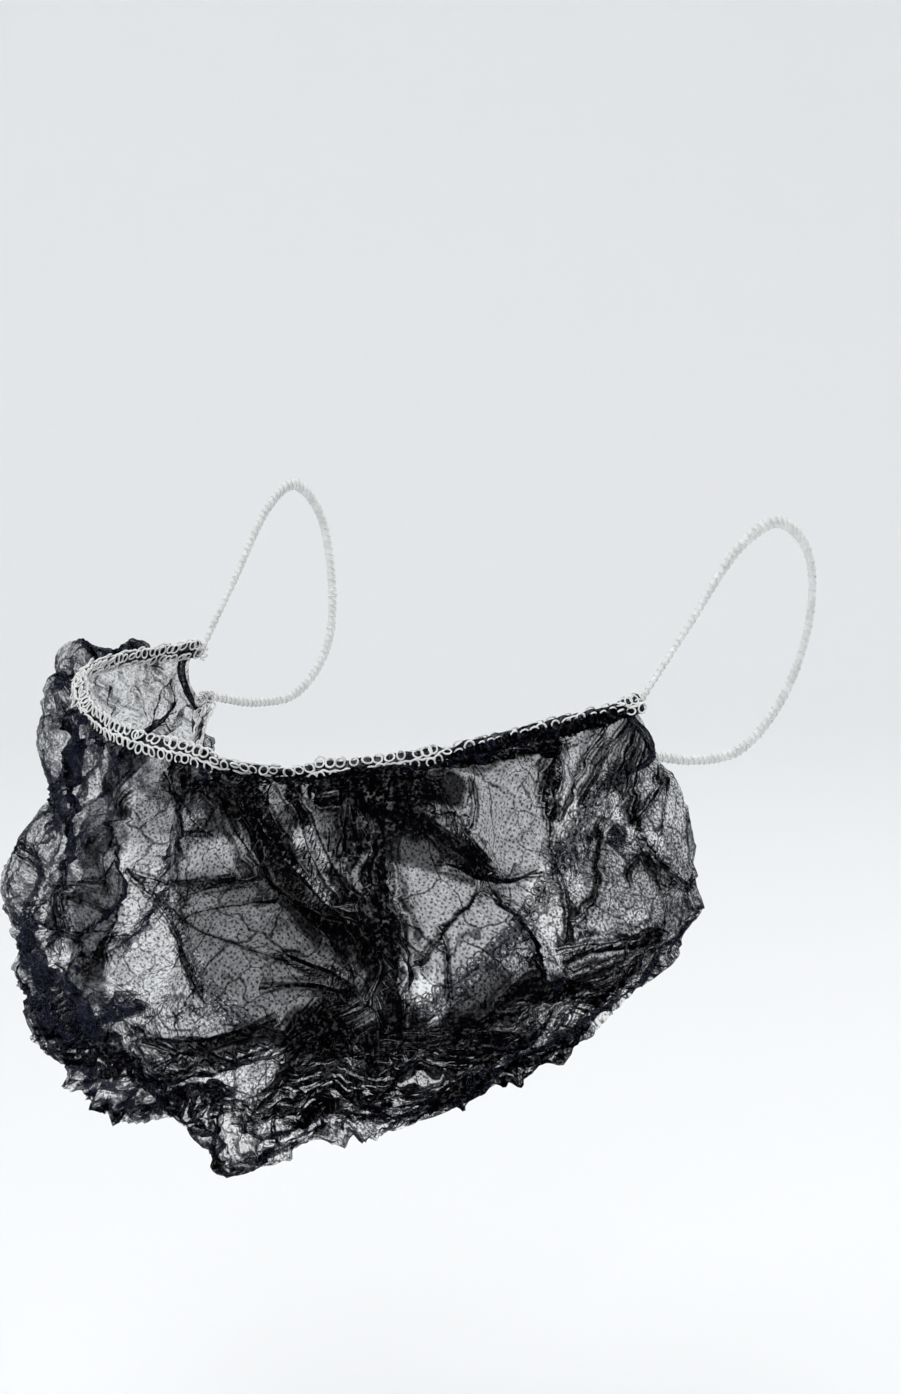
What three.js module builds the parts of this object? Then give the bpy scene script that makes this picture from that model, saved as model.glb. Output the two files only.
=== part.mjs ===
// A disposable beard net in its worn shape: a gathered non-woven pouch that hangs round the chin and jaw,
// an overlocked elastic along its rim and another along its chin hem, and an elastic ear loop at each end.
// Units are millimetres, +Z is up, -Y is the way the wearer faces and +X is the wearer's left.
// The origin is midway between the tops of the two ears, where the ear loops hang.
import * as THREE from "three";

// Driving dimensions.
const WALL = 1.4; // the crumpled fabric's own depth
const GAP = 0.35; // clearance between neighbouring pieces
const AXIS_Y = -38; // the sections fan out from an upright axis here, level with the ear corners
const ELASTIC = { width: 3.6, thickness: 2.0 }; // elastic wrapped in its overlock stitch, along both hems
const LOOP = { width: 2.6, thickness: 1.7 }; // the same elastic, drawn out thinner round the ear
const LOOP_ENDS = { rim: 1.2, hem: 1.6 }; // how far the ear loop starts from the ends of the two elastics
const GRID = { around: 80, down: 26 }; // fabric cells between the corners, and from rim to hem
const ENDS = 0.95; // the fabric's ends stop short of the corners, whose full distance is 1

// Where each named line of the pouch lies between rim (0) and hem (1), and how much further round than the
// rim it reaches just before the corners.
const LINES = [
  { name: "rim", at: 0, sweep: 1 },
  { name: "puff", at: 0.16, sweep: 1.03 },
  { name: "waist", at: 0.34, sweep: 1.12 },
  { name: "belly", at: 0.54, sweep: 1.28 },
  { name: "sag", at: 0.8, sweep: 1.2 },
  { name: "hem", at: 1, sweep: 0.98 },
];

// One row for each section of the pouch, from the wearer's right corner to the left one: the turn from
// straight ahead in degrees, and the [radius from the axis, height] of each line in its order above.
const SECTIONS = [
  [-90, [70, -37], [71, -38], [72, -40], [72, -43], [70, -46], [68, -48]],
  [-82, [71, -37], [75, -38], [78, -46], [78, -56], [70, -62], [64, -60]],
  [-75, [72, -37], [79, -36], [79, -53], [82, -71], [74, -83], [63, -74]],
  [-66, [74, -37], [82, -35], [80, -60], [87, -84], [79, -106], [60, -88]],
  [-46, [77, -38], [83, -39], [82, -66], [94, -90], [84, -118], [52, -105]],
  [-24, [76, -44], [81, -53], [84, -72], [95, -94], [80, -128], [44, -114]],
  [0, [74, -47], [80, -57], [86, -76], [94, -96], [76, -126], [41, -117]],
  [24, [72, -49], [78, -59], [84, -76], [92, -95], [75, -128], [44, -114]],
  [46, [69, -46], [76, -56], [82, -73], [88, -92], [73, -119], [52, -105]],
  [66, [67, -42], [73, -52], [79, -65], [84, -84], [76, -102], [60, -88]],
  [75, [68, -40], [72, -48], [78, -57], [82, -72], [74, -83], [63, -74]],
  [82, [69, -39], [72, -44], [77, -49], [77, -57], [69, -62], [64, -60]],
  [90, [70, -37], [71, -38], [72, -40], [72, -43], [70, -46], [68, -48]],
].map(([turn, rim, puff, waist, belly, sag, hem]) => ({ turn, rim, puff, waist, belly, sag, hem }));

// The places where the gathered fabric comes to a point: where it is, how wide it is both ways, and how far
// its tip stands out from the pouch and hangs below it.
const TIPS = [
  { name: "right_tail", across: -0.42, down: 0.8, width: 0.05, length: 0.1, out: 8, drop: 3 },
  { name: "front_right_bag", across: -0.17, down: 0.78, width: 0.08, length: 0.14, out: 2, drop: 6 },
  { name: "front_tip", across: 0.075, down: 0.8, width: 0.065, length: 0.15, out: 1, drop: 13 },
  { name: "front_bag", across: 0.17, down: 0.82, width: 0.07, length: 0.15, out: 1, drop: 5 },
  { name: "left_tail", across: 0.5, down: 0.84, width: 0.06, length: 0.1, out: 3, drop: 4 },
  { name: "left_ear_point", across: 0.8, down: 0.6, width: 0.06, length: 0.12, out: 4, drop: 0 },
];

// The deep gathers and dents. across is the place between the corners (-1 right, 1 left) at the rim and at
// the hem, down is the stretch that it covers, and height is how far it stands out (or in, below zero).
const FOLDS = [
  { name: "right_cheek_gather", across: [-0.62, -0.7], down: [0.2, 0.8], width: 0.06, height: -4 },
  { name: "right_puff", across: [-0.5, -0.48], down: [0.05, 0.6], width: 0.07, height: 3 },
  { name: "front_right_gather", across: [-0.3, -0.34], down: [0.0, 0.9], width: 0.05, height: -4 },
  { name: "lip_gather", across: [-0.04, 0.2], down: [0.0, 0.9], width: 0.035, height: -4 },
  { name: "cheek_panel", across: [0.14, 0.14], down: [0.3, 0.8], width: 0.06, height: 2.5 },
  { name: "cheek_gather", across: [0.3, 0.26], down: [0.0, 0.9], width: 0.04, height: -5 },
  { name: "jaw_panel", across: [0.46, 0.42], down: [0.1, 0.75], width: 0.07, height: 3 },
  { name: "jaw_gather", across: [0.62, 0.54], down: [0.0, 0.9], width: 0.035, height: -4 },
  { name: "corner_gather", across: [0.8, 0.72], down: [0.0, 0.6], width: 0.04, height: -3 },
];

// The route of the left ear loop: from the rim's end over the ear, down behind it and to the hem's end.
const LOOP_ROUTE = [
  { x: 72.5, y: -24, z: -21 },
  { x: 75.5, y: -8, z: -3 },
  { x: 77.5, y: 3, z: 1.5 },
  { x: 78.5, y: 13, z: -6 },
  { x: 77, y: 16, z: -22 },
  { x: 73.5, y: 11, z: -40 },
  { x: 71.5, y: -2, z: -51 },
  { x: 70, y: -18, z: -52 },
];

const radians = (degrees) => (degrees * Math.PI) / 180;
const clamp = (x, low, high) => Math.min(high, Math.max(low, x));

function smooth(x) {
  const t = clamp(x, 0, 1);
  return t * t * (3 - 2 * t);
}

// The value at place t of a Catmull-Rom curve through values that stand at the rising places.
function through(places, values, t) {
  const last = places.length - 1;
  let i = 0;
  while (i < last - 1 && t > places[i + 1]) i += 1;
  const slope = (k) => {
    const a = Math.max(k - 1, 0);
    const b = Math.min(k + 1, last);
    return (values[b] - values[a]) / (places[b] - places[a]);
  };
  const span = places[i + 1] - places[i];
  const s = (t - places[i]) / span;
  const near = (1 + 2 * s) * (1 - s) ** 2 * values[i] + s * (1 - s) ** 2 * span * slope(i);
  const far = s * s * (3 - 2 * s) * values[i + 1] + s * s * (s - 1) * span * slope(i + 1);
  return near + far;
}

const TURNS = SECTIONS.map((row) => row.turn);
const DOWNS = LINES.map((line) => line.at);

// The tips' pull on a place of the pouch that lies in the given direction from the axis.
function tipPull(across, down, angle) {
  const pull = new THREE.Vector3();
  for (const tip of TIPS) {
    const far = Math.hypot((across - tip.across) / tip.width, (down - tip.down) / tip.length);
    const share = Math.exp(-far);
    pull.x += share * tip.out * Math.sin(angle);
    pull.y -= share * tip.out * Math.cos(angle);
    pull.z -= share * tip.drop;
  }
  return pull;
}

// A point of the unfolded pouch: across runs from -1 to 1 between the corners, down from 0 to 1.
function draped(across, down) {
  const turn = across * 90;
  const onLines = LINES.map((line) => {
    const radius = through(TURNS, SECTIONS.map((row) => row[line.name][0]), turn);
    const height = through(TURNS, SECTIONS.map((row) => row[line.name][1]), turn);
    const angle = radians(turn * (1 + (line.sweep - 1) * smooth((90 - Math.abs(turn)) / 15)));
    return [radius * Math.sin(angle), AXIS_Y - radius * Math.cos(angle), height];
  });
  const [x, y, z] = [0, 1, 2].map((axis) => through(DOWNS, onLines.map((point) => point[axis]), down));
  const freeOfHems = smooth(down / 0.1) * smooth((1 - down) / 0.1);
  return tipPull(across, down, radians(turn)).multiplyScalar(freeOfHems).add(new THREE.Vector3(x, y, z));
}

// The direction straight out of the unfolded pouch.
function outward(across, down) {
  const step = 0.004;
  const low = clamp(across - step, -1, 1);
  const high = clamp(across + step, -1, 1);
  const alongRim = draped(high, down).sub(draped(low, down));
  const alongDrop = draped(across, clamp(down + step, 0, 1)).sub(draped(across, clamp(down - step, 0, 1)));
  return alongRim.cross(alongDrop).normalize().negate();
}

// How far the gathers push the fabric out at a place.
function foldHeight(across, down) {
  let height = 0;
  for (const fold of FOLDS) {
    const [atRim, atHem] = fold.across;
    const [from, to] = fold.down;
    const middle = atRim + (atHem - atRim) * down;
    const share = smooth((down - from) / 0.12) * smooth((to - down) / 0.2);
    height += fold.height * share * Math.exp(-(((across - middle) / fold.width) ** 2));
  }
  return height * smooth(down / 0.15) * smooth((1 - down) / 0.15) * smooth((1 - Math.abs(across)) / 0.25);
}

// A closed mesh from two matching sheets of points, [row][column], joined round their edges.
function shellBetween(outer, inner) {
  const rows = outer.length;
  const columns = outer[0].length;
  const points = [...outer.flat(), ...inner.flat()];
  const index = (sheet, row, column) => sheet * rows * columns + row * columns + column;
  const faces = [];
  const quad = (a, b, c, d) => faces.push(a, b, c, a, c, d);
  for (let r = 0; r < rows - 1; r += 1) {
    for (let c = 0; c < columns - 1; c += 1) {
      quad(index(0, r, c), index(0, r + 1, c), index(0, r + 1, c + 1), index(0, r, c + 1));
      quad(index(1, r, c), index(1, r, c + 1), index(1, r + 1, c + 1), index(1, r + 1, c));
    }
  }
  for (let r = 0; r < rows - 1; r += 1) {
    const end = columns - 1;
    quad(index(0, r, 0), index(1, r, 0), index(1, r + 1, 0), index(0, r + 1, 0));
    quad(index(0, r, end), index(0, r + 1, end), index(1, r + 1, end), index(1, r, end));
  }
  for (let c = 0; c < columns - 1; c += 1) {
    const end = rows - 1;
    quad(index(0, 0, c), index(0, 0, c + 1), index(1, 0, c + 1), index(1, 0, c));
    quad(index(0, end, c), index(1, end, c), index(1, end, c + 1), index(0, end, c + 1));
  }
  return geometryOf(points, faces);
}

function geometryOf(points, faces) {
  const geometry = new THREE.BufferGeometry();
  const coordinates = points.flatMap((point) => point.toArray());
  geometry.setAttribute("position", new THREE.Float32BufferAttribute(coordinates, 3));
  geometry.setIndex(faces);
  geometry.computeVertexNormals();
  return geometry;
}

// A flat elastic along a route: an eight-sided section whose width lies along the given directions.
function elasticAlong(route, widthwise, size) {
  const sides = 8;
  const points = [];
  const faces = [];
  route.forEach((centre, k) => {
    const before = route[Math.max(k - 1, 0)];
    const after = route[Math.min(k + 1, route.length - 1)];
    const forward = after.clone().sub(before).normalize();
    const across = widthwise[k].clone().addScaledVector(forward, -widthwise[k].dot(forward)).normalize();
    const thickwise = forward.clone().cross(across);
    for (let s = 0; s < sides; s += 1) {
      const angle = ((s + 0.5) / sides) * 2 * Math.PI;
      const point = centre.clone();
      point.addScaledVector(across, (Math.cos(angle) * size.width) / 2);
      point.addScaledVector(thickwise, (Math.sin(angle) * size.thickness) / 2);
      points.push(point);
    }
  });
  for (let k = 0; k < route.length - 1; k += 1) {
    for (let s = 0; s < sides; s += 1) {
      const next = (s + 1) % sides;
      const [a, b, c, d] = [k * sides + s, k * sides + next, (k + 1) * sides + next, (k + 1) * sides + s];
      faces.push(a, b, c, a, c, d);
    }
  }
  const last = (route.length - 1) * sides;
  for (let s = 1; s < sides - 1; s += 1) {
    faces.push(0, s + 1, s, last, last + s, last + s + 1);
  }
  return geometryOf(points, faces);
}

// The place down a section that lies the given distance from its rim (end 0) or its hem (end 1).
function downAt(across, end, distance) {
  const start = draped(across, end);
  let [near, far] = [end, 0.5];
  for (let k = 0; k < 20; k += 1) {
    const middle = (near + far) / 2;
    if (draped(across, middle).distanceTo(start) < distance) near = middle;
    else far = middle;
  }
  return near;
}

// The pouch, from just under the rim elastic to just above the hem elastic.
function pouch() {
  const clear = ELASTIC.width / 2 + GAP;
  const clearOfHem = ELASTIC.width / 2 + 2 * GAP;
  const outer = [];
  const inner = [];
  for (let row = 0; row <= GRID.down; row += 1) {
    const outerRow = [];
    const innerRow = [];
    for (let column = 0; column <= GRID.around; column += 1) {
      const across = ENDS * Math.sin((column / GRID.around - 0.5) * Math.PI);
      const top = downAt(across, 0, clear);
      const bottom = downAt(across, 1, clearOfHem);
      const down = top + (bottom - top) * (row / GRID.down);
      const normal = outward(across, down);
      const point = draped(across, down).addScaledVector(normal, foldHeight(across, down));
      outerRow.push(point.clone().addScaledVector(normal, WALL / 2));
      innerRow.push(point.clone().addScaledVector(normal, -WALL / 2));
    }
    outer.push(outerRow);
    inner.push(innerRow);
  }
  return shellBetween(outer, inner);
}

// The elastic along the rim (down = 0) or the hem (down = 1), lying in the fabric's own surface.
function hemElastic(down) {
  const steps = 72;
  const route = [];
  const widthwise = [];
  for (let k = 0; k <= steps; k += 1) {
    const across = (k / steps) * 2 - 1;
    route.push(draped(across, down));
    widthwise.push(draped(across, Math.abs(down - 0.04)).sub(draped(across, down)));
  }
  return elasticAlong(route, widthwise, ELASTIC);
}

// An ear loop; side is 1 on the wearer's left and -1 on the right.
function earLoop(side) {
  const start = draped(1, 0);
  const end = draped(1, 1);
  const knots = [start, ...LOOP_ROUTE.map((p) => new THREE.Vector3(p.x, p.y, p.z)), end];
  const curve = new THREE.CatmullRomCurve3(knots, false, "centripetal");
  const from = LOOP_ENDS.rim / curve.getLength();
  const to = 1 - LOOP_ENDS.hem / curve.getLength();
  const steps = 56;
  const route = [];
  const widthwise = [];
  for (let k = 0; k <= steps; k += 1) {
    const point = curve.getPointAt(from + (to - from) * (k / steps));
    route.push(new THREE.Vector3(side * point.x, point.y, point.z));
    widthwise.push(new THREE.Vector3(0, point.y + 8, point.z + 26));
  }
  return elasticAlong(side > 0 ? route : route.reverse(), side > 0 ? widthwise : widthwise.reverse(), LOOP);
}

const fabric = new THREE.MeshStandardMaterial({ color: 0x16161a, roughness: 0.9, metalness: 0 });
const elastic = new THREE.MeshStandardMaterial({ color: 0xe6e8e6, roughness: 0.85, metalness: 0 });

const beardNet = new THREE.Group();

function add(name, geometry, material) {
  const mesh = new THREE.Mesh(geometry, material);
  mesh.name = name;
  beardNet.add(mesh);
}

add("net_pouch", pouch(), fabric);
add("rim_elastic", hemElastic(0), elastic);
add("chin_elastic", hemElastic(1), elastic);
add("ear_loop_left", earLoop(1), elastic);
add("ear_loop_right", earLoop(-1), elastic);

export default beardNet;
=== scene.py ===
import math

import bmesh
import bpy
import numpy as np
from bpy.props import FloatProperty, FloatVectorProperty, IntProperty, PointerProperty
from mathutils import Matrix, Vector


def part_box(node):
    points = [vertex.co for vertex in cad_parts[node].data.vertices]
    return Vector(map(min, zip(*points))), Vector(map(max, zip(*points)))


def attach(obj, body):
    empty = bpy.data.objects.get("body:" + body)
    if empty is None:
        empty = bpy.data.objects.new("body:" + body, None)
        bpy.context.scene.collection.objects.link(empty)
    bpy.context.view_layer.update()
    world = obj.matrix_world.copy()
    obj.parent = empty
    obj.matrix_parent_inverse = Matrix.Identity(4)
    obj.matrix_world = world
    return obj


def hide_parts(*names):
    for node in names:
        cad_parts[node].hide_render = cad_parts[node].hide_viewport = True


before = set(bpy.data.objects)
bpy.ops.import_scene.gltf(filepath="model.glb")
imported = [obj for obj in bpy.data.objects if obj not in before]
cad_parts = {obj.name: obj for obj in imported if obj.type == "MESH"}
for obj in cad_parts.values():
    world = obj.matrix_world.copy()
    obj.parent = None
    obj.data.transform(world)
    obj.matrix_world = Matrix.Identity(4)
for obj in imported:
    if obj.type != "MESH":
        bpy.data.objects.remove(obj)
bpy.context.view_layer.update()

bl_info = {
    "name": "Disposable Beard Net",
    "version": (1, 0, 0),
    "blender": (4, 5, 0),
    "location": "View3D > Sidebar > Beard Net",
    "description": "A gathered non-woven beard net with overlocked elastics and ear loops",
    "category": "Object",
}

# Lengths in the tables and functions are millimetres, and MM turns them into Blender's metres.
MM = 0.001

# The sections of the pouch fan out from an upright axis here, level with the ear corners.
AXIS_Y = -38.0

# Where each named line of the pouch lies between rim (0) and hem (1), and how much further round than
# the rim it reaches just before the corners.
LINES = (
    ("rim", 0.0, 1.0),
    ("puff", 0.16, 1.03),
    ("waist", 0.34, 1.12),
    ("belly", 0.54, 1.28),
    ("sag", 0.8, 1.2),
    ("hem", 1.0, 0.98),
)

# One row for each section from the wearer's right corner to the left one: the turn from straight ahead
# in degrees, then the (radius, height) of the rim, puff, waist, belly, sag and hem.
SECTIONS = (
    (-90, (70, -37), (71, -38), (72, -40), (72, -43), (70, -46), (68, -48)),
    (-82, (71, -37), (75, -38), (78, -46), (78, -56), (70, -62), (64, -60)),
    (-75, (72, -37), (79, -36), (79, -53), (82, -71), (74, -83), (63, -74)),
    (-66, (74, -37), (82, -35), (80, -60), (87, -84), (79, -106), (60, -88)),
    (-46, (77, -38), (83, -39), (82, -66), (94, -90), (84, -118), (52, -105)),
    (-24, (76, -44), (81, -53), (84, -72), (95, -94), (80, -128), (44, -114)),
    (0, (74, -47), (80, -57), (86, -76), (94, -96), (76, -126), (41, -117)),
    (24, (72, -49), (78, -59), (84, -76), (92, -95), (75, -128), (44, -114)),
    (46, (69, -46), (76, -56), (82, -73), (88, -92), (73, -119), (52, -105)),
    (66, (67, -42), (73, -52), (79, -65), (84, -84), (76, -102), (60, -88)),
    (75, (68, -40), (72, -48), (78, -57), (82, -72), (74, -83), (63, -74)),
    (82, (69, -39), (72, -44), (77, -49), (77, -57), (69, -62), (64, -60)),
    (90, (70, -37), (71, -38), (72, -40), (72, -43), (70, -46), (68, -48)),
)

# The places where the gathered fabric comes to a point: across, down, width, length, out, drop.
TIPS = {
    "right_tail": (-0.42, 0.8, 0.05, 0.1, 8, 3),
    "front_right_bag": (-0.17, 0.78, 0.08, 0.14, 2, 6),
    "front_tip": (0.09, 0.8, 0.08, 0.15, 1, 11),
    "front_bag": (0.17, 0.82, 0.07, 0.15, 1, 5),
    "left_tail": (0.5, 0.84, 0.08, 0.12, 3, 5),
    "left_ear_point": (0.8, 0.6, 0.06, 0.12, 4, 0),
}

# The places where it is drawn in: across, down, width, length, out, drop.
HOLLOWS = {
    "right_low": (-0.34, 0.74, 0.12, 0.14, -9, -6),
    "bottom_notch": (0.01, 0.79, 0.06, 0.12, -3, -7),
}

# The broad hollows and swells: across at the rim, across at the hem, from, to, width, height.
SWELLS = {
    "right_cheek_gather": (-0.62, -0.7, 0.2, 0.8, 0.06, -4),
    "right_puff": (-0.5, -0.48, 0.05, 0.6, 0.07, 3),
    "front_right_gather": (-0.3, -0.34, 0.0, 0.9, 0.05, -4),
    "lip_gather": (-0.04, 0.2, 0.0, 0.9, 0.035, -4),
    "cheek_panel": (0.14, 0.14, 0.3, 0.8, 0.06, 2.5),
    "cheek_gather": (0.3, 0.26, 0.0, 0.9, 0.04, -5),
    "jaw_panel": (0.46, 0.42, 0.1, 0.75, 0.07, 3),
    "jaw_gather": (0.62, 0.54, 0.0, 0.9, 0.035, -4),
    "corner_gather": (0.8, 0.72, 0.0, 0.6, 0.04, -3),
    "left_edge": (0.86, 0.82, 0.1, 0.9, 0.1, -3.5),
}

# The folds that show one by one. Each has its route over the cloth as (across, down) places, the width
# of one ply, how far it doubles back over itself, how high it stands and how much cloth it packs in.
FOLDS = (
    ("lip_ridge", ((0.08, 0.02), (0.17, 0.18), (0.25, 0.3), (0.32, 0.4), (0.33, 0.51)),
     3.2, 1.5, 2.6, 2.4),
    ("lip_ridge_inner", ((0.14, 0.01), (0.21, 0.14), (0.28, 0.27), (0.33, 0.38), (0.34, 0.5)),
     2.0, 1.5, 1.8, 2.1),
    ("lip_ridge_upper", ((0.21, 0.01), (0.27, 0.14), (0.31, 0.26), (0.34, 0.38)), 2.0, 1.5, 1.6, 1.9),
    ("mouth_ridge", ((0.4, 0.02), (0.41, 0.16), (0.39, 0.28), (0.38, 0.38), (0.36, 0.48), (0.33, 0.58)),
     3.2, 1.5, 2.4, 2.1),
    ("mouth_ridge_low", ((0.4, 0.2), (0.39, 0.32), (0.37, 0.44), (0.34, 0.6), (0.33, 0.68)),
     2.6, 1.5, 1.6, 1.6),
    ("mouth_ridge_side", ((0.36, 0.03), (0.36, 0.15), (0.35, 0.26)), 2.2, 1.5, 1.6, 2.0),
    ("under_rim", ((0.3, 0.05), (0.37, 0.07), (0.43, 0.08), (0.52, 0.08)), 4.0, 1.5, 2.0, 3.1),
    ("under_rim_left", ((0.48, 0.05), (0.6, 0.05), (0.7, 0.05), (0.82, 0.06)), 1.6, 2.6, 1.2, 1.7),
    ("cheek_ridge", ((0.4, 0.03), (0.43, 0.13), (0.48, 0.21), (0.53, 0.28), (0.57, 0.33)),
     2.0, 1.5, 2.6, 2.0),
    ("cheek_ridge_upper", ((0.49, 0.04), (0.52, 0.16), (0.54, 0.24), (0.57, 0.31)), 1.0, 1.5, 1.6, 1.3),
    ("cheek_star_right", ((0.51, 0.3), (0.56, 0.33), (0.64, 0.35)), 1.1, 2.4, 1.4, 1.6),
    ("cheek_star_left", ((0.55, 0.31), (0.5, 0.37), (0.43, 0.43), (0.36, 0.52)), 1.0, 2.8, 0.8, 1.3),
    ("cheek_star_down", ((0.53, 0.34), (0.54, 0.42), (0.54, 0.48), (0.52, 0.56)), 1.1, 2.8, 1.0, 1.7),
    ("cheek_hang", ((0.44, 0.4), (0.43, 0.46), (0.41, 0.54)), 0.9, 2.6, 0.8, 1.4),
    ("upper_hang", ((0.58, 0.09), (0.57, 0.17), (0.54, 0.23)), 0.6, 2.0, 0.8, 2.2),
    ("jaw_hang", ((0.76, 0.04), (0.73, 0.12), (0.69, 0.19)), 0.6, 2.0, 0.8, 2.2),
    ("jaw_ridge", ((0.78, 0.03), (0.74, 0.14), (0.71, 0.2), (0.69, 0.26)), 1.6, 1.5, 1.6, 3.0),
    ("jaw_ridge_outer", ((0.89, 0.06), (0.81, 0.16), (0.75, 0.21), (0.7, 0.27)), 1.3, 1.5, 1.4, 2.2),
    ("corner_ridge", ((0.92, 0.22), (0.83, 0.29), (0.75, 0.35), (0.67, 0.41), (0.58, 0.47)),
     1.5, 1.5, 1.6, 2.4),
    ("corner_edge", ((0.93, 0.4), (0.85, 0.36), (0.8, 0.37), (0.78, 0.43), (0.76, 0.5)),
     1.1, 1.4, 1.0, 2.4),
    ("ear_cross", ((0.78, 0.38), (0.79, 0.45), (0.8, 0.53), (0.81, 0.6)), 1.0, 1.4, 1.0, 2.4),
    ("ear_return", ((0.81, 0.5), (0.77, 0.5), (0.73, 0.53), (0.7, 0.54)), 1.2, 1.4, 1.0, 0.9),
    ("panel_crease", ((-0.04, 0.3), (0.03, 0.36), (0.1, 0.45), (0.15, 0.54)), 0.65, 1.8, 0.9, 2.0),
    ("panel_crease_side", ((0.02, 0.34), (0.12, 0.4), (0.2, 0.44), (0.3, 0.5)), 0.5, 1.8, 0.5, 1.0),
    ("panel_fan_upper", ((-0.04, 0.31), (0.06, 0.31), (0.19, 0.28)), 0.75, 2.0, 0.7, 1.0),
    ("panel_fan_lower", ((0.05, 0.35), (0.13, 0.31), (0.23, 0.28)), 0.6, 2.0, 0.6, 1.2),
    ("panel_fan_middle", ((0.08, 0.38), (0.16, 0.34), (0.25, 0.33)), 0.5, 2.0, 0.6, 1.2),
    ("upper_crease", ((-0.04, 0.06), (0.01, 0.16), (0.07, 0.27)), 0.9, 2.0, 0.9, 2.2),
    ("middle_crease", ((0.22, 0.43), (0.28, 0.47), (0.32, 0.53)), 1.0, 2.6, 0.8, 1.5),
    ("middle_crease_low", ((0.2, 0.5), (0.26, 0.5), (0.31, 0.53)), 1.2, 2.6, 0.8, 1.7),
    ("low_panel_ridge", ((0.02, 0.59), (0.1, 0.585), (0.17, 0.565), (0.24, 0.55)), 1.6, 1.5, 1.4, 1.7),
    ("low_ridge", ((-0.04, 0.68), (0.1, 0.65), (0.24, 0.6), (0.36, 0.52)), 3.0, 1.5, 2.2, 1.8),
    ("low_ridge_long", ((0.14, 0.645), (0.2, 0.63), (0.28, 0.61), (0.46, 0.58), (0.62, 0.55), (0.76, 0.6)),
     2.6, 1.5, 2.2, 1.6),
    ("low_ridge_left", ((0.37, 0.63), (0.43, 0.58), (0.5, 0.54), (0.55, 0.54)), 2.2, 1.5, 2.0, 1.8),
    ("low_ridge_ear", ((0.56, 0.5), (0.62, 0.5), (0.68, 0.52), (0.74, 0.57)), 2.0, 1.5, 1.6, 1.8),
    ("bottom_ridge", ((0.13, 0.69), (0.24, 0.67), (0.36, 0.69), (0.5, 0.74)), 2.6, 1.5, 1.6, 1.9),
    ("right_ridge", ((-0.4, 0.08), (-0.28, 0.17), (-0.21, 0.27), (-0.15, 0.4), (-0.1, 0.54)),
     2.8, 1.5, 2.2, 1.2),
    ("right_sweep", ((-0.5, 0.46), (-0.36, 0.42), (-0.24, 0.4), (-0.14, 0.44)), 1.8, 1.5, 1.6, 1.0),
    ("right_drop", ((-0.34, 0.12), (-0.34, 0.35), (-0.26, 0.5), (-0.2, 0.62)), 2.0, 1.5, 1.6, 1.0),
    ("right_edge", ((-0.08, 0.12), (-0.1, 0.22), (-0.05, 0.32), (-0.02, 0.42), (-0.01, 0.54)),
     1.2, 1.6, 1.2, 1.2),
    ("tip_ridge", ((-0.03, 0.56), (-0.03, 0.65), (0.01, 0.7), (0.04, 0.76), (0.06, 0.82)),
     2.4, 1.5, 2.2, 2.4),
    ("right_cluster", ((-0.28, 0.69), (-0.1, 0.65), (-0.03, 0.67), (0.01, 0.66)), 3.0, 1.5, 1.8, 1.7),
    ("low_front", ((0.05, 0.65), (0.11, 0.61), (0.19, 0.6), (0.25, 0.57), (0.3, 0.51)),
     2.6, 1.5, 2.0, 1.1),
    ("bottom_front", ((0.11, 0.73), (0.21, 0.72), (0.3, 0.71), (0.41, 0.73), (0.49, 0.75)),
     1.6, 1.5, 1.1, 2.0),
    ("window_post", ((0.29, 0.56), (0.31, 0.63), (0.29, 0.68)), 2.4, 1.5, 1.6, 2.2),
    ("low_left", ((0.36, 0.61), (0.41, 0.63), (0.49, 0.64), (0.58, 0.67)), 2.6, 1.5, 2.0, 2.0),
    ("low_left_upper", ((0.48, 0.59), (0.53, 0.57), (0.63, 0.61), (0.69, 0.59)), 2.6, 1.5, 1.8, 2.0),
    ("corner_ray_rim", ((0.97, 0.12), (0.92, 0.14), (0.84, 0.18), (0.75, 0.25)), 1.0, 2.6, 1.0, 2.6),
    ("corner_ray_middle", ((0.97, 0.2), (0.92, 0.21), (0.84, 0.25), (0.79, 0.3), (0.73, 0.35)),
     1.2, 1.6, 1.2, 2.6),
    ("corner_ray_ear", ((0.97, 0.34), (0.9, 0.29), (0.83, 0.33), (0.8, 0.41), (0.79, 0.52)),
     1.0, 1.4, 0.9, 2.6),
    ("ear_fall", ((0.94, 0.44), (0.88, 0.39), (0.82, 0.41), (0.75, 0.42), (0.7, 0.45)),
     0.9, 1.4, 0.7, 1.8),
    ("far_scratch", ((-0.3, 0.48), (-0.16, 0.47), (-0.06, 0.46)), 1.0, 2.6, 0.8, 1.2),
    ("far_fall", ((-0.44, 0.13), (-0.31, 0.18), (-0.23, 0.25), (-0.17, 0.34)), 1.8, 1.5, 1.2, 1.6),
    ("cheek_heap", ((0.48, 0.27), (0.52, 0.305), (0.57, 0.32)), 1.5, 2.2, 1.3, 2.0),
    ("jaw_ridge_low", ((0.7, 0.23), (0.67, 0.31), (0.63, 0.39), (0.57, 0.5)), 0.9, 2.0, 0.9, 2.2),
)

# Where the loose cloth of the right side ends: down, then across.
RIGHT_EDGE = ((0.0, -0.04), (0.13, -0.04), (0.2, -0.07), (0.28, -0.03), (0.37, -0.02), (0.47, 0.005),
              (0.56, 0.01), (1.0, 0.0))

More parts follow.
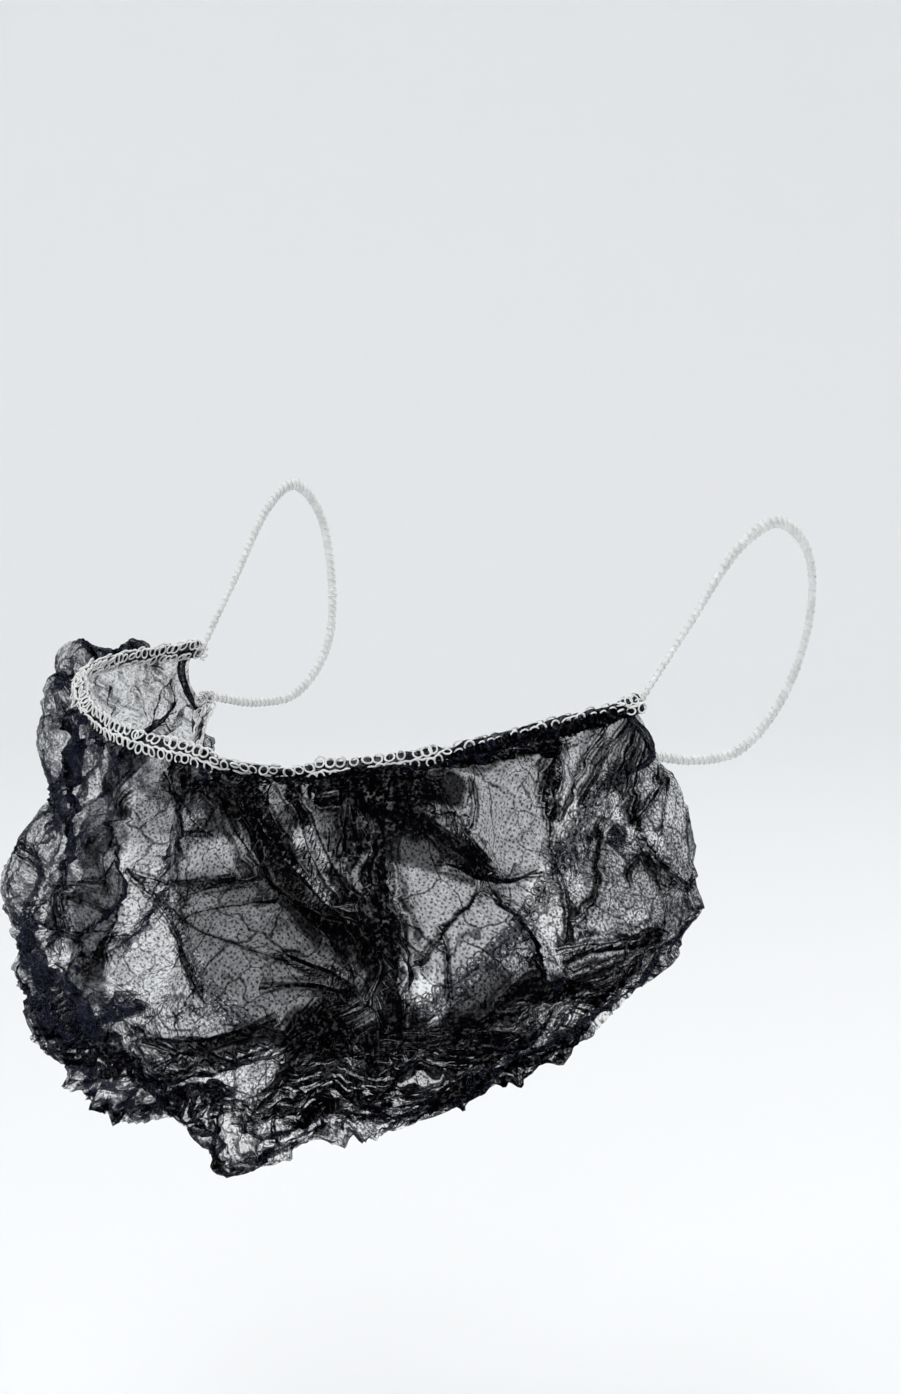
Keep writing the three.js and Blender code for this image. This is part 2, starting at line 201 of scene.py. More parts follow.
# The crease where the cloth of the front lies doubled (down, then across), the middle of that part, how
# far it reaches and how many plies it adds.
FRONT_EDGE = ((0.0, 0.3), (0.3, 0.07), (0.36, 0.06), (0.45, 0.12), (0.54, 0.17), (0.62, 0.2), (1.0, 0.2))
FRONT_MIDDLE = ((0.1, 0.37), (0.18, 0.41), (0.26, 0.46), (0.3, 0.51))
FRONT_REACH = 13.0
FRONT_PLIES = 1.3

# A panel that takes away more plies than this also opens the folds that cross it.
OPEN_PLIES = 1.3

# Where the cloth lies open or heaped up: its route as (across, down) places, how far it reaches on each
# side, how many plies of slack it adds and the share of the crowds' gathers that it keeps away.
PANELS = (
    ("right_cheek", ((-0.01, 0.3), (0.04, 0.42), (0.05, 0.55)), 6.5, -1.0, 0.9),
    ("right_lip", ((-0.06, 0.13), (-0.03, 0.19), (0.0, 0.26)), 4.5, 0.5, 0.9),
    ("lip_side", ((0.03, 0.24), (0.1, 0.27), (0.17, 0.28)), 5.0, 0.4, 0.9),
    ("front", ((0.14, 0.37), (0.2, 0.43), (0.26, 0.49)), 12.0, 0.4, 0.8),
    ("mouth", ((0.27, 0.14), (0.32, 0.22), (0.35, 0.32)), 5.0, 0.9, 0.9),
    ("upper_cheek", ((0.54, 0.1), (0.62, 0.14), (0.62, 0.24)), 11.0, 0.3, 0.9),
    ("cheek", ((0.48, 0.34), (0.45, 0.44), (0.39, 0.54)), 11.0, 0.1, 0.9),
    ("lower_cheek", ((0.63, 0.38), (0.58, 0.47), (0.61, 0.55)), 6.0, -1.3, 0.9),
    ("jaw", ((0.83, 0.13), (0.75, 0.22), (0.68, 0.33), (0.61, 0.42)), 7.0, -0.5, 0.9),
    ("ear", ((0.9, 0.33), (0.84, 0.42), (0.77, 0.5)), 12.0, 0.1, 0.9),
    ("low_strip", ((0.1, 0.56), (0.18, 0.57), (0.24, 0.56)), 4.6, -0.7, 0.9),
    ("right_window", ((0.08, 0.67), (0.13, 0.65), (0.18, 0.63), (0.21, 0.6)), 4.2, -3.0, 0.8),
    ("jaw_window", ((0.64, 0.67), (0.67, 0.72)), 2.6, -2.2, 0.8),
    ("cluster_window", ((-0.14, 0.62), (-0.06, 0.62)), 4.0, -2.0, 0.8),
    ("cluster_low_window", ((-0.22, 0.66), (-0.15, 0.68)), 3.4, -2.4, 0.8),
    ("far_side", ((-0.38, 0.36), (-0.28, 0.42), (-0.2, 0.45)), 7.5, -1.6, 0.7),
    ("ear_window", ((0.67, 0.5), (0.69, 0.55)), 4.0, -1.0, 0.9),
    ("bottom_strip", ((0.3, 0.7), (0.35, 0.705), (0.39, 0.715)), 2.2, -2.2, 0.9),
    ("tip_window", ((0.09, 0.71), (0.14, 0.75), (0.2, 0.74)), 6.5, -2.6, 0.9),
    ("far_wall", ((-0.52, 0.99), (-0.6, 0.93), (-0.68, 0.84), (-0.76, 0.7), (-0.77, 0.5)), 15.0, -2.0, 0.9),
    ("behind_ear", ((0.94, 0.6), (0.92, 0.74), (0.85, 0.84), (0.76, 0.92), (0.66, 0.95)), 10.0, -1.3, 0.9),
    ("underside", ((-0.2, 0.93), (0.1, 0.95), (0.35, 0.93), (0.58, 0.93)), 11.0, -0.9, 0.9),
    ("mouth_low", ((0.29, 0.2), (0.3, 0.26), (0.3, 0.31)), 3.4, -1.5, 0.5),
    ("cheek_low", ((0.31, 0.48), (0.32, 0.53), (0.3, 0.57)), 3.6, -1.2, 0.7),
    ("bottom_light", ((0.13, 0.76), (0.2, 0.77), (0.3, 0.77), (0.36, 0.78)), 4.4, -1.8, 0.7),
    ("star_shadow", ((0.42, 0.23), (0.47, 0.265)), 3.3, 2.8, 0.0),
    ("front_post", ((0.24, 0.55), (0.28, 0.56)), 2.5, 3.6, 0.0),
    ("left_post", ((0.42, 0.56), (0.44, 0.54), (0.47, 0.51)), 3.0, 2.8, 0.0),
    ("under_rim_low", ((0.4, 0.12), (0.44, 0.16), (0.47, 0.2)), 3.2, 4.5, 0.0),
    ("bottom_shade", ((0.43, 0.69), (0.48, 0.71)), 3.4, 4.6, 0.0),
    ("lip_corner", ((-0.09, 0.1), (-0.03, 0.12), (0.02, 0.1)), 4.0, 1.6, 0.0),
    ("mouth_side", ((0.31, 0.3), (0.34, 0.37)), 2.4, -1.2, 0.5),
    ("jaw_light", ((0.81, 0.28), (0.78, 0.35), (0.8, 0.42)), 3.4, -1.6, 0.4),
    ("edge_heap", ((-0.03, 0.46), (-0.03, 0.5)), 3.0, 2.0, 0.0),
    ("left_heap", ((0.43, 0.63), (0.48, 0.6)), 3.0, 2.4, 0.0),
    ("lip_shadow", ((0.06, 0.13), (0.14, 0.13), (0.1, 0.2), (0.15, 0.19)), 3.4, 1.8, 0.0),
    ("edge_light", ((-0.13, 0.58), (-0.06, 0.575), (0.0, 0.6)), 3.2, -2.6, 0.5),
    ("ear_side", ((0.62, 0.63), (0.64, 0.66)), 3.0, 1.6, 0.0),
    ("cheek_low_side", ((0.37, 0.49), (0.39, 0.53)), 3.5, -1.9, 0.5),
    ("corner_light", ((0.69, 0.2), (0.73, 0.24), (0.75, 0.29)), 2.6, -0.9, 0.3),
    ("edge_strip", ((-0.19, 0.21), (-0.1, 0.25), (-0.08, 0.3)), 3.0, -1.2, 0.3),
    ("tip_light", ((0.05, 0.685), (0.1, 0.665)), 2.8, -2.4, 0.6),
    ("right_low", ((-0.26, 0.48), (-0.16, 0.53), (-0.07, 0.57)), 8.0, -0.6, 0.0),
    ("under_rim", ((0.37, 0.08), (0.44, 0.12), (0.53, 0.13)), 4.0, 4.5, 0.0),
    ("lip_fall", ((0.11, 0.05), (0.2, 0.2), (0.27, 0.32), (0.32, 0.42)), 2.4, 1.8, 0.0),
    ("mouth_fall", ((0.41, 0.2), (0.39, 0.3), (0.35, 0.42), (0.31, 0.5)), 3.0, 1.5, 0.0),
    ("low_fall", ((0.28, 0.65), (0.36, 0.65), (0.46, 0.64), (0.56, 0.64)), 3.4, 2.2, 0.0),
    ("right_fall", ((-0.13, 0.08), (-0.13, 0.2), (-0.09, 0.32), (-0.07, 0.42), (-0.05, 0.5), (-0.03, 0.6)),
     5.8, 3.4, 0.0),
)

# Crowds of smaller gathers, each drawn from the crowd's seed: how many, the ranges of across and down
# where they start, their lean (across) and fall (down), the ply width, doubling, height and packing.
CROWDS = (
    ("rim_gathers", 90, (-0.96, 0.9), (0.0, 0.02), (-0.04, 0.04), (0.04, 0.13), (0.8, 1.4), 2.8, 0.9, 0.5),
    ("lip_gathers", 34, (0.02, 0.5), (0.0, 0.02), (0.0, 0.08), (0.07, 0.2), (0.8, 1.4), 2.8, 1.0, 1.0),
    ("hem_gathers", 60, (-0.96, 0.96), (0.98, 1.0), (-0.05, 0.05), (-0.2, -0.06), (1.0, 1.8),
     2.2, 0.7, 0.3),
    ("right_fan", 10, (-0.95, -0.88), (0.1, 0.9), (0.12, 0.28), (-0.14, 0.14), (0.9, 1.6), 1.6, 0.5, 0.8),
    ("chin_slack", 26, (-0.2, 0.75), (0.62, 0.9), (-0.06, 0.24), (-0.1, 0.1), (1.4, 2.4), 2.0, 0.4, 1.5),
    ("right_slack", 20, (-0.85, -0.2), (0.05, 0.8), (-0.05, 0.08), (0.08, 0.24), (1.0, 1.9), 2.8, 1.2, 0.6),
    ("right_chin_slack", 16, (-0.8, -0.1), (0.6, 0.9), (0.06, 0.26), (-0.06, 0.06), (1.4, 2.4),
     2.0, 0.4, 1.2),
    ("stray_creases", 60, (-0.1, 0.9), (0.1, 0.6), (-0.16, 0.16), (-0.16, 0.16), (0.5, 0.8), 2.2, 0.6, 1.4),
)

# The paper-like facets of the cloth: the size of each kind and how deep it is.
CRUMPLES = ((24, 1.8), (12, 1.0), (6.5, 0.38), (3.6, 0.12))

# How far round towards the corners the cloth reaches before the tufts take over, and how long one unit
# of across or down is on the cloth.
CORNER = 0.985
CLOTH_SPAN = 132.0

# However many folds heap up at a place, they move the cloth no further and pack it no tighter than this.
MOST_SHIFT = 7.0
MOST_RISE = 5.5
MOST_PACKED = 3.2

# How much of a fold's length its shape takes to rise at the start and to fall at the end, and how much its
# packing takes; how far its edge wanders and its width varies, as shares of the width.
SHAPE_ENDS = (0.25, 0.35)
PACKING_ENDS = (0.12, 0.2)
WANDER = 0.35
UNEVENNESS = 0.3

# A fold's cloth settles back over this length on its far side, and a small gather's over the second.
FOLD_DEPTH = 9.0
GATHER_DEPTH = 4.0

# How far down the cloth begins to hang slack, and the steps between the points of routes and ear loops.
SLACK_FROM = 0.56
ROUTE_STEP = 2.0
LOOP_STEP = 0.8

# Where the random draws of the folds, crowds and facets start.
WAVE_SEEDS = (3, 4)
FOLD_SEED = 50
CROWD_SEED = 100
GATHER_SEED = 900
CRUMPLE_SEED = 7

# How fine each pattern of the fabric is, in features for a metre of cloth.
FIBRES = 1900.0
CLOUDS = 420.0
PATCHES = 90.0
BENDS = 110.0
WIDE_CREASES = 95.0
FINE_CREASES = 230.0
BROAD_STREAKS = 330.0
THIN_STREAKS = 850.0
FLECKS = 700.0
GLINTS = 1200.0

# How many plies darker the cloth looks where each of its patterns is full.
DOT_PLIES = 1.3
CREASE_PLIES = 3.0
FIBRE_PLIES = 1.3
CLOUD_PLIES = 2.2
PATCH_PLIES = 1.2
PLEAT_PLIES = 3.0
CREST_PLIES = 4.5
FLANK_PLIES = 2.5
STREAK_PLIES = 6.0
LINE_PLIES = 1.1

# The rings of thread, by radius: round the overlocked edge, round an ear loop and in a corner's knot. The
# thickness of the last two follows, and how far apart the turns round a loop are.
STITCH_RADIUS = 1.12
WRAP_RADIUS = 1.0
KNOT_RADIUS = 0.8
WRAP_THREAD = 0.34
KNOT_THREAD = 0.45
WRAP_PITCH = 0.85

# The route of the left ear loop, from the rim's end over the ear, down behind it and to the hem's end.
LOOP_ROUTE = (
    (72.5, -24, -21),
    (75.5, -8, -3),
    (77.5, 3, 1.5),
    (78.5, 13, -6),
    (77, 16, -22),
    (73.5, 11, -40),
    (71.5, -2, -51),
    (70, -18, -52),
)

# The view: turn and rise in degrees, then the distance and the point looked at in millimetres.
VIEW_TURN = 42.0
VIEW_RISE = 8.0
VIEW_DISTANCE = 900.0
VIEW_TARGET = (-7.3, -15.1, -45.1)
LENS = 96.0


def smooth(x):
    """An even step from 0 to 1."""
    t = np.clip(x, 0.0, 1.0)
    return t * t * (3 - 2 * t)


def unit(vectors):
    """The vectors at length 1."""
    return vectors / np.maximum(np.linalg.norm(vectors, axis=-1, keepdims=True), 1e-12)


def dot(a, b):
    """The dot product of each pair of vectors."""
    return np.sum(a * b, axis=-1)


def through(places, values, t):
    """The values at t of a smooth curve through values that stand at the rising places."""
    places = np.asarray(places, float)
    values = np.asarray(values, float)
    last = len(places) - 1
    before = np.maximum(np.arange(last + 1) - 1, 0)
    after = np.minimum(np.arange(last + 1) + 1, last)
    gaps = places[after] - places[before]
    slopes = (values[after] - values[before]) / gaps.reshape((-1,) + (1,) * (values.ndim - 1))
    i = np.clip(np.searchsorted(places, t) - 1, 0, last - 1)
    span = places[i + 1] - places[i]
    s = (t - places[i]) / span
    if values.ndim > 1:
        here = np.arange(values.shape[1])
        near, far = values[i, here], values[i + 1, here]
        near_slope, far_slope = slopes[i, here], slopes[i + 1, here]
    else:
        near, far = values[i], values[i + 1]
        near_slope, far_slope = slopes[i], slopes[i + 1]
    near = (1 + 2 * s) * (1 - s) ** 2 * near + s * (1 - s) ** 2 * span * near_slope
    return near + s * s * (3 - 2 * s) * far + s * s * (s - 1) * span * far_slope


def draped(across, down):
    """Points of the unfolded pouch: across runs from -1 to 1 between the corners, down from 0 to 1."""
    across, down = np.broadcast_arrays(np.asarray(across, float), np.asarray(down, float))
    shape = across.shape
    across, down = across.ravel(), down.ravel()
    turn = across * 90
    turns = [row[0] for row in SECTIONS]
    on_lines = []
    for k, (_, _, sweep) in enumerate(LINES):
        radius = through(turns, [row[k + 1][0] for row in SECTIONS], turn)
        height = through(turns, [row[k + 1][1] for row in SECTIONS], turn)
        angle = np.radians(turn * (1 + (sweep - 1) * smooth((90 - np.abs(turn)) / 15)))
        on_lines.append((radius * np.sin(angle), AXIS_Y - radius * np.cos(angle), height))
    downs = [line[1] for line in LINES]
    axes = [through(downs, [line[axis] for line in on_lines], down) for axis in range(3)]
    points = np.stack(axes, axis=-1)
    free = smooth(down / 0.1) * smooth((1 - down) / 0.1)
    # A tip falls off sharply, and a hollow is round.
    for places, power in ((TIPS, 1), (HOLLOWS, 2)):
        for mid_across, mid_down, width, length, out, drop in places.values():
            away = np.hypot((across - mid_across) / width, (down - mid_down) / length)
            share = free * np.exp(-(away ** power))
            points[:, 0] += share * out * np.sin(np.radians(turn))
            points[:, 1] -= share * out * np.cos(np.radians(turn))
            points[:, 2] -= share * drop
    return points.reshape(shape + (3,))


def outward(across, down):
    """The directions straight out of the unfolded pouch."""
    step = 0.004
    around = draped(np.minimum(across + step, 1), down) - draped(np.maximum(across - step, -1), down)
    drop = draped(across, np.minimum(down + step, 1)) - draped(across, np.maximum(down - step, 0))
    return -unit(np.cross(around, drop))


def swell_height(across, down):
    """How far the broad hollows and swells move the fabric."""
    height = np.zeros_like(across)
    for at_rim, at_hem, start, end, width, rise in SWELLS.values():
        middle = at_rim + (at_hem - at_rim) * down
        share = smooth((down - start) / 0.12) * smooth((end - down) / 0.2)
        height += rise * share * np.exp(-(((across - middle) / width) ** 2))
    free = smooth(down / 0.15) * smooth((1 - down) / 0.15) * smooth((1 - np.abs(across)) / 0.12)
    return height * free


def evenly_along(points, step):
    """The same route with points about one step apart."""
    gaps = np.linalg.norm(np.diff(points, axis=0), axis=1)
    along = np.concatenate([[0], np.cumsum(gaps)])
    wanted = np.linspace(0, along[-1], max(3, int(along[-1] / step) + 1))
    return np.stack([np.interp(wanted, along, points[:, axis]) for axis in range(3)], axis=-1)


def over_cloth(places):
    """A smooth route over the unfolded pouch through (across, down) places."""
    places = np.asarray(places, float)
    t = np.linspace(0, len(places) - 1, 12 * len(places))
    ticks = np.arange(len(places))
    across = through(ticks, places[:, 0], t)
    down = through(ticks, places[:, 1], t)
    return evenly_along(draped(across, np.clip(down, 0, 1)), ROUTE_STEP)


def triangle(x):
    """A wave of straight slopes between -1 and 1."""
    return 4 * np.abs(x - np.floor(x + 0.5)) - 1


def across_at(line, down):
    """How far across a line of (down, across) places lies at each down."""
    downs, acrosses = zip(*line)
    return through(downs, acrosses, down)


def rolled(aside, out, roll):
    """A place in an edge's section, turned by roll."""
    return aside * np.cos(roll) - out * np.sin(roll), aside * np.sin(roll) + out * np.cos(roll)


class Cloth:
    """The pouch's cloth while it is folded: where its points lay, where they go and how packed it is."""

    def __init__(self, across, down):
        self.across = across
        self.down = down
        self.points = draped(across, down)
        self.normals = outward(across, down)
        self.shift = np.zeros_like(self.points)
        self.rise = swell_height(across, down)
        self.packed = np.zeros(len(across))
        self.ragged = self.waves(WAVE_SEEDS[0], (15.0, 9.0, 5.5))
        self.uneven = self.waves(WAVE_SEEDS[1], (21.0, 12.0, 7.0))
        # How freely folds may move the cloth, and how much packing they may add.
        self.give = 0.15 + 0.85 * smooth((0.96 - np.abs(across)) / 0.24)
        self.give *= 0.2 + 0.8 * smooth(down / 0.07)
        self.take = np.ones(len(across))
        self.spare = np.zeros(len(across))
        # Where each point lies in its leading fold: beside it and along it.
        self.strand = np.full(len(across), 9.0)
        self.travel = np.zeros(len(across))
        self.leading = np.zeros(len(across))

    def waves(self, seed, lengths):
        """Slow waves between -1 and 1 over the cloth, to keep folds from looking ruled."""
        draw = np.random.default_rng(seed)
        total = np.zeros(len(self.points))
        for length in lengths:
            for _ in range(2):
                ahead = unit(draw.normal(size=3)) / length
                total += np.sin(2 * np.pi * (self.points @ ahead + draw.uniform()) + 1.2 * total)
        return total / (2 * len(lengths)) ** 0.5 / 1.4

    def fold(self, route, width, doubling, height, packing, depth=FOLD_DEPTH):
        """Lays the cloth in plies over a route: it doubles back over itself and stands up by height."""
        reach = 4 * width + depth
        low = route.min(axis=0) - reach
        high = route.max(axis=0) + reach
        near = np.flatnonzero(np.all((self.points > low) & (self.points < high), axis=1))
        if not len(near):
            return
        points = self.points[near]
        slopes = unit(np.gradient(route, axis=0))
        gaps = np.linalg.norm(np.diff(route, axis=0), axis=1)
        along = np.concatenate([[0], np.cumsum(gaps)])
        closest = np.full(len(near), np.inf)
        foot = np.zeros_like(points)
        slope = np.zeros_like(points)
        travel = np.zeros(len(near))
        for k in range(len(route) - 1):
            leg = route[k + 1] - route[k]
            share = np.clip(((points - route[k]) @ leg) / (leg @ leg), 0, 1)[:, None]
            place = route[k] + share * leg
            distance = np.linalg.norm(points - place, axis=1)
            won = distance < closest
            closest[won] = distance[won]
            foot[won] = place[won]
            slope[won] = (slopes[k] * (1 - share) + slopes[k + 1] * share)[won]
            travel[won] = (along[k] + share[:, 0] * gaps[k])[won]
        side = unit(np.cross(self.normals[near], slope))
        reach = points - foot
        reach -= dot(reach, self.normals[near])[:, None] * self.normals[near]
        offset = np.copysign(np.linalg.norm(reach, axis=1), dot(reach, side))
        offset += WANDER * width * self.ragged[near]
        width = width * (1 + UNEVENNESS * self.uneven[near])
        taper, filled = (
            smooth(travel / (start * along[-1])) * smooth((along[-1] - travel) / (end * along[-1]))
            for start, end in (SHAPE_ENDS, PACKING_ENDS))
        give = self.give[near]
        t = offset / width
        hump = np.exp(-((t / 1.5) ** 2))
        ridge = triangle(1.1 * t + 0.4 * self.uneven[near])
        pull = give * doubling * width * taper * t * np.exp(-t * t)
        step = smooth((t + 1.2) / 2.4) * np.exp(-np.maximum(offset - width, 0) / depth)
        self.shift[near] -= pull[:, None] * side
        self.rise[near] += give * taper * (height * step + 0.12 * width * hump * ridge)
        spread = 0.35 * smooth((np.mean(width) - 1.4) / 0.4)
        mound = (1 - spread) * hump + spread * np.exp(-((t / 2.6) ** 2))
        weight = packing * self.take[near] * filled * mound
        self.packed[near] += weight * (1 + 0.3 * ridge)
        leads = weight > self.leading[near]
        self.leading[near[leads]] = weight[leads]
        self.strand[near[leads]] = offset[leads]
        self.travel[near[leads]] = travel[leads]

    def beside(self, route, reach):
        """1 within reach of a route and 0 further off, with a ragged edge."""
        distance = np.full(len(self.points), np.inf)
        for place in route:
            distance = np.minimum(distance, np.linalg.norm(self.points - place, axis=1))
        return smooth((reach * (1.2 + 0.3 * self.ragged) - distance) / (0.35 * reach + 0.5))

    def crumple(self, seed, sizes, weight):
        """Breaks the cloth into paper-like facets; each size has its own depth."""
        draw = np.random.default_rng(seed)
        bent = self.points.copy()
        for size, depth in sizes:
            for _ in range(3):
                ahead = unit(draw.normal(size=3))
                sideways = unit(draw.normal(size=3))
                wave = triangle(bent @ ahead / size + draw.uniform())
                self.rise += weight * depth * wave
                bent += 0.35 * size * wave[:, None] * sideways

    def lay_folds(self, gather):
        """Lays the folds that show one by one."""
        draw = np.random.default_rng(FOLD_SEED)
        for _, places, width, doubling, height, packing in FOLDS:
            for route, size, share in strands(draw, places, width):
                self.fold(route, size, doubling, height * share * gather, packing * share)

    def lay_panels(self):
        """Opens the cloth or heaps it up at each panel, and doubles the front beyond its crease."""
        for _, places, reach, plies, calm in PANELS:
            share = self.beside(over_cloth(places), reach)
            self.spare += plies * share
            self.take = np.minimum(self.take, 1 - calm * share)
            if plies < -OPEN_PLIES:
                self.packed *= 1 - 0.8 * share
        crease = across_at(FRONT_EDGE, self.down)
        double = self.beside(over_cloth(FRONT_MIDDLE), FRONT_REACH)
        past = smooth((self.across + 0.004 * self.ragged - crease) / 0.014)
        self.spare += FRONT_PLIES * double * past

    def lay_crowds(self):
        """Lays the crowds of smaller gathers, more gently where a panel keeps them away."""
        self.give = self.give * (0.15 + 0.85 * self.take)
        for k, crowd in enumerate(CROWDS):
            _, count, acrosses, downs, leans, falls, widths, doubling, height, packing = crowd
            draw = np.random.default_rng(GATHER_SEED + k)
            for route in crowd_routes(CROWD_SEED + k, count, acrosses, downs, leans, falls):
                size = draw.uniform(*widths)
                share = draw.uniform(0.5, 1.0)
                way = draw.choice([-0.8, 1.0])
                self.fold(route, size, doubling * (0.7 + 0.4 * share), way * height * share,
                          packing * share, GATHER_DEPTH)

    def lay_facets(self, depth):
        """Crumples the cloth all over, more so where it hangs slack low down and at the right side."""
        self.laid = self.placed()
        free = smooth(self.down / 0.12) * smooth((1 - self.down) / 0.1)
        free = free * smooth((1 - np.abs(self.across)) / 0.15)
        self.low = smooth((self.down - SLACK_FROM) / 0.1) * smooth(1.0 - 0.9 * np.maximum(-self.spare, 0))
        edge = across_at(RIGHT_EDGE, self.down)
        self.side = smooth((edge + 0.006 * self.ragged - self.across) / 0.02)
        slack = 0.6 + 0.5 * self.low + 0.4 * self.side
        self.crumple(CRUMPLE_SEED, CRUMPLES, depth * free * slack)

    def masks(self):
        """What the material reads at each point."""
        middle = np.exp(-(((self.across - 0.35) / 0.1) ** 2))
        rim_pack = np.exp(-((self.down / 0.07) ** 2)) * (0.6 + 3.0 * middle)
        front = (1 - self.low) * (1 - self.side)
        return {
            "packed": MOST_PACKED * np.tanh((self.packed + rim_pack) / MOST_PACKED),
            "spare": self.spare + 0.85 * front - 0.1 * self.side + 0.8 * self.low,
            "strand": self.strand,
            "travel": self.travel,
            "slack_low": self.low,
            "slack_side": self.side,
        }

    def placed(self):
        """Where the points go; heaped folds press each other flat."""
        reach = np.linalg.norm(self.shift, axis=1, keepdims=True)
        shift = self.shift * (MOST_SHIFT * np.tanh(reach / MOST_SHIFT) / np.maximum(reach, 1e-9))
        rise = MOST_RISE * np.tanh(self.rise / MOST_RISE)
        return self.points + shift + rise[:, None] * self.normals


def integrated(along, fall):
    """The surface over a grid whose steps along and down it come nearest to the given ones."""
    rows, columns = along.shape
    steps_along = (along[:, 1:] + along[:, :-1]) / 2
    steps_fall = (fall[1:] + fall[:-1]) / 2
    spread = np.zeros((rows, columns))
    spread[:, :-1] += steps_along
    spread[:, 1:] -= steps_along
    spread[:-1] += steps_fall
    spread[1:] -= steps_fall
    mirrored = np.block([[spread, spread[:, ::-1]], [spread[::-1], spread[::-1, ::-1]]])
    waves = np.fft.fft2(mirrored)
    down_wave = 2 * np.cos(2 * np.pi * np.arange(2 * rows) / (2 * rows)) - 2
    along_wave = 2 * np.cos(2 * np.pi * np.arange(2 * columns) / (2 * columns)) - 2
    weight = down_wave[:, None] + along_wave[None, :]
    weight[0, 0] = 1.0
    waves /= weight
    waves[0, 0] = 0.0
    return np.real(np.fft.ifft2(waves))[:rows, :columns]


def strands(draw, places, width):
    """The routes of the few thinner gathers that run side by side and make up one wide fold."""
    places = np.asarray(places, float)
    slopes = unit(np.gradient(places, axis=0))
    aside = np.stack([-slopes[:, 1], slopes[:, 0]], axis=-1)
    count = 1 if width < 1.6 else 3 if width < 3.5 else 5
    routes = []
    for k in range(count):
        offset = (k - (count - 1) / 2) * 2.2 / count * width / CLOTH_SPAN
        wander = 0.3 * width / CLOTH_SPAN * draw.normal(size=(len(places), 2))
        strand = places + offset * aside + wander
        share = 1.0 if k == count // 2 else draw.uniform(0.6, 0.95)
        routes.append((over_cloth(strand), width / count ** 0.5, share))
    return routes


def crowd_routes(seed, count, acrosses, downs, leans, falls):
    """Short wavy routes over the cloth, drawn at random within the ranges."""
    draw = np.random.default_rng(seed)
    routes = []
    for _ in range(count):
        start = np.array([draw.uniform(*acrosses), draw.uniform(*downs)])
        run = np.array([draw.uniform(*leans), draw.uniform(*falls)])
        bow = 0.22 * draw.uniform(-1, 1) * np.array([run[1], -run[0]])
        shares = (0, 0.33, 0.67, 1)
        places = np.array([start + share * run + math.sin(math.pi * share) * bow for share in shares])
        places[:, 0] = np.clip(places[:, 0], -CORNER, CORNER)
        places[:, 1] = np.clip(places[:, 1], 0.0, 1.0)
        routes.append(over_cloth(places))
    return routes


class Value:
    """A shader socket that plain arithmetic works on."""

    def __init__(self, graph, socket):
        self.graph = graph
        self.socket = socket

    def math(self, operation, *others):
        return self.graph.node("ShaderNodeMath", {"operation": operation}, self, *others)

    def __add__(self, other):
        return self.math("ADD", other)

    def __mul__(self, other):
        return self.math("MULTIPLY", other)

    def __sub__(self, other):
        return self.math("SUBTRACT", other)

    def __rsub__(self, other):
        return self.graph.node("ShaderNodeMath", {"operation": "SUBTRACT"}, other, self)

    def __rpow__(self, other):
        return self.graph.node("ShaderNodeMath", {"operation": "POWER"}, other, self)

    __radd__ = __add__
    __rmul__ = __mul__

    def step(self, start, end):
        """0 before start and 1 after end, with a smooth slope between."""
        settings = {"interpolation_type": "SMOOTHSTEP"}
        return self.graph.node("ShaderNodeMapRange", settings, self, start, end)


class Graph:
    """A material and the nodes in it."""

    def __init__(self, name):
        self.material = bpy.data.materials.new(name)
        self.material.use_nodes = True
        self.tree = self.material.node_tree
        self.tree.nodes.clear()

    def node(self, kind, settings, *inputs, out=0, **named):
        """Adds a node: settings are its own, inputs its sockets in order, named its sockets by name."""
        made = self.tree.nodes.new(kind)
        for key, value in settings.items():
            setattr(made, key, value)
        pairs = list(zip(made.inputs, inputs))
        pairs += [(made.inputs[key.replace("_", " ")], value) for key, value in named.items()]
        for socket, value in pairs:
            if isinstance(value, Value):
                self.tree.links.new(value.socket, socket)
            elif value is not None:
                socket.default_value = value
        if made.outputs:
            return Value(self, made.outputs[out])
        return None

    def noise(self, where, scale, detail=2.0, roughness=0.5):
        """Soft cloudy noise from 0 to 1."""
        settings = {"noise_dimensions": "3D"}
        return self.node("ShaderNodeTexNoise", settings, Vector=where, Scale=scale, Detail=detail,
                         Roughness=roughness)

    def mix(self, share, start, end):
        """The colour that goes from start to end with share."""
        other_types = (None,) * 5
        colours = (*start, 1), (*end, 1)
        return self.node("ShaderNodeMix", {"data_type": "RGBA"}, share, *other_types, *colours, out=2)

    def finish(self, **sockets):
        """Closes the material with its surface shader."""
        shader = self.node("ShaderNodeBsdfPrincipled", {}, **sockets)
        self.node("ShaderNodeOutputMaterial", {}, Surface=shader)
        return self.material


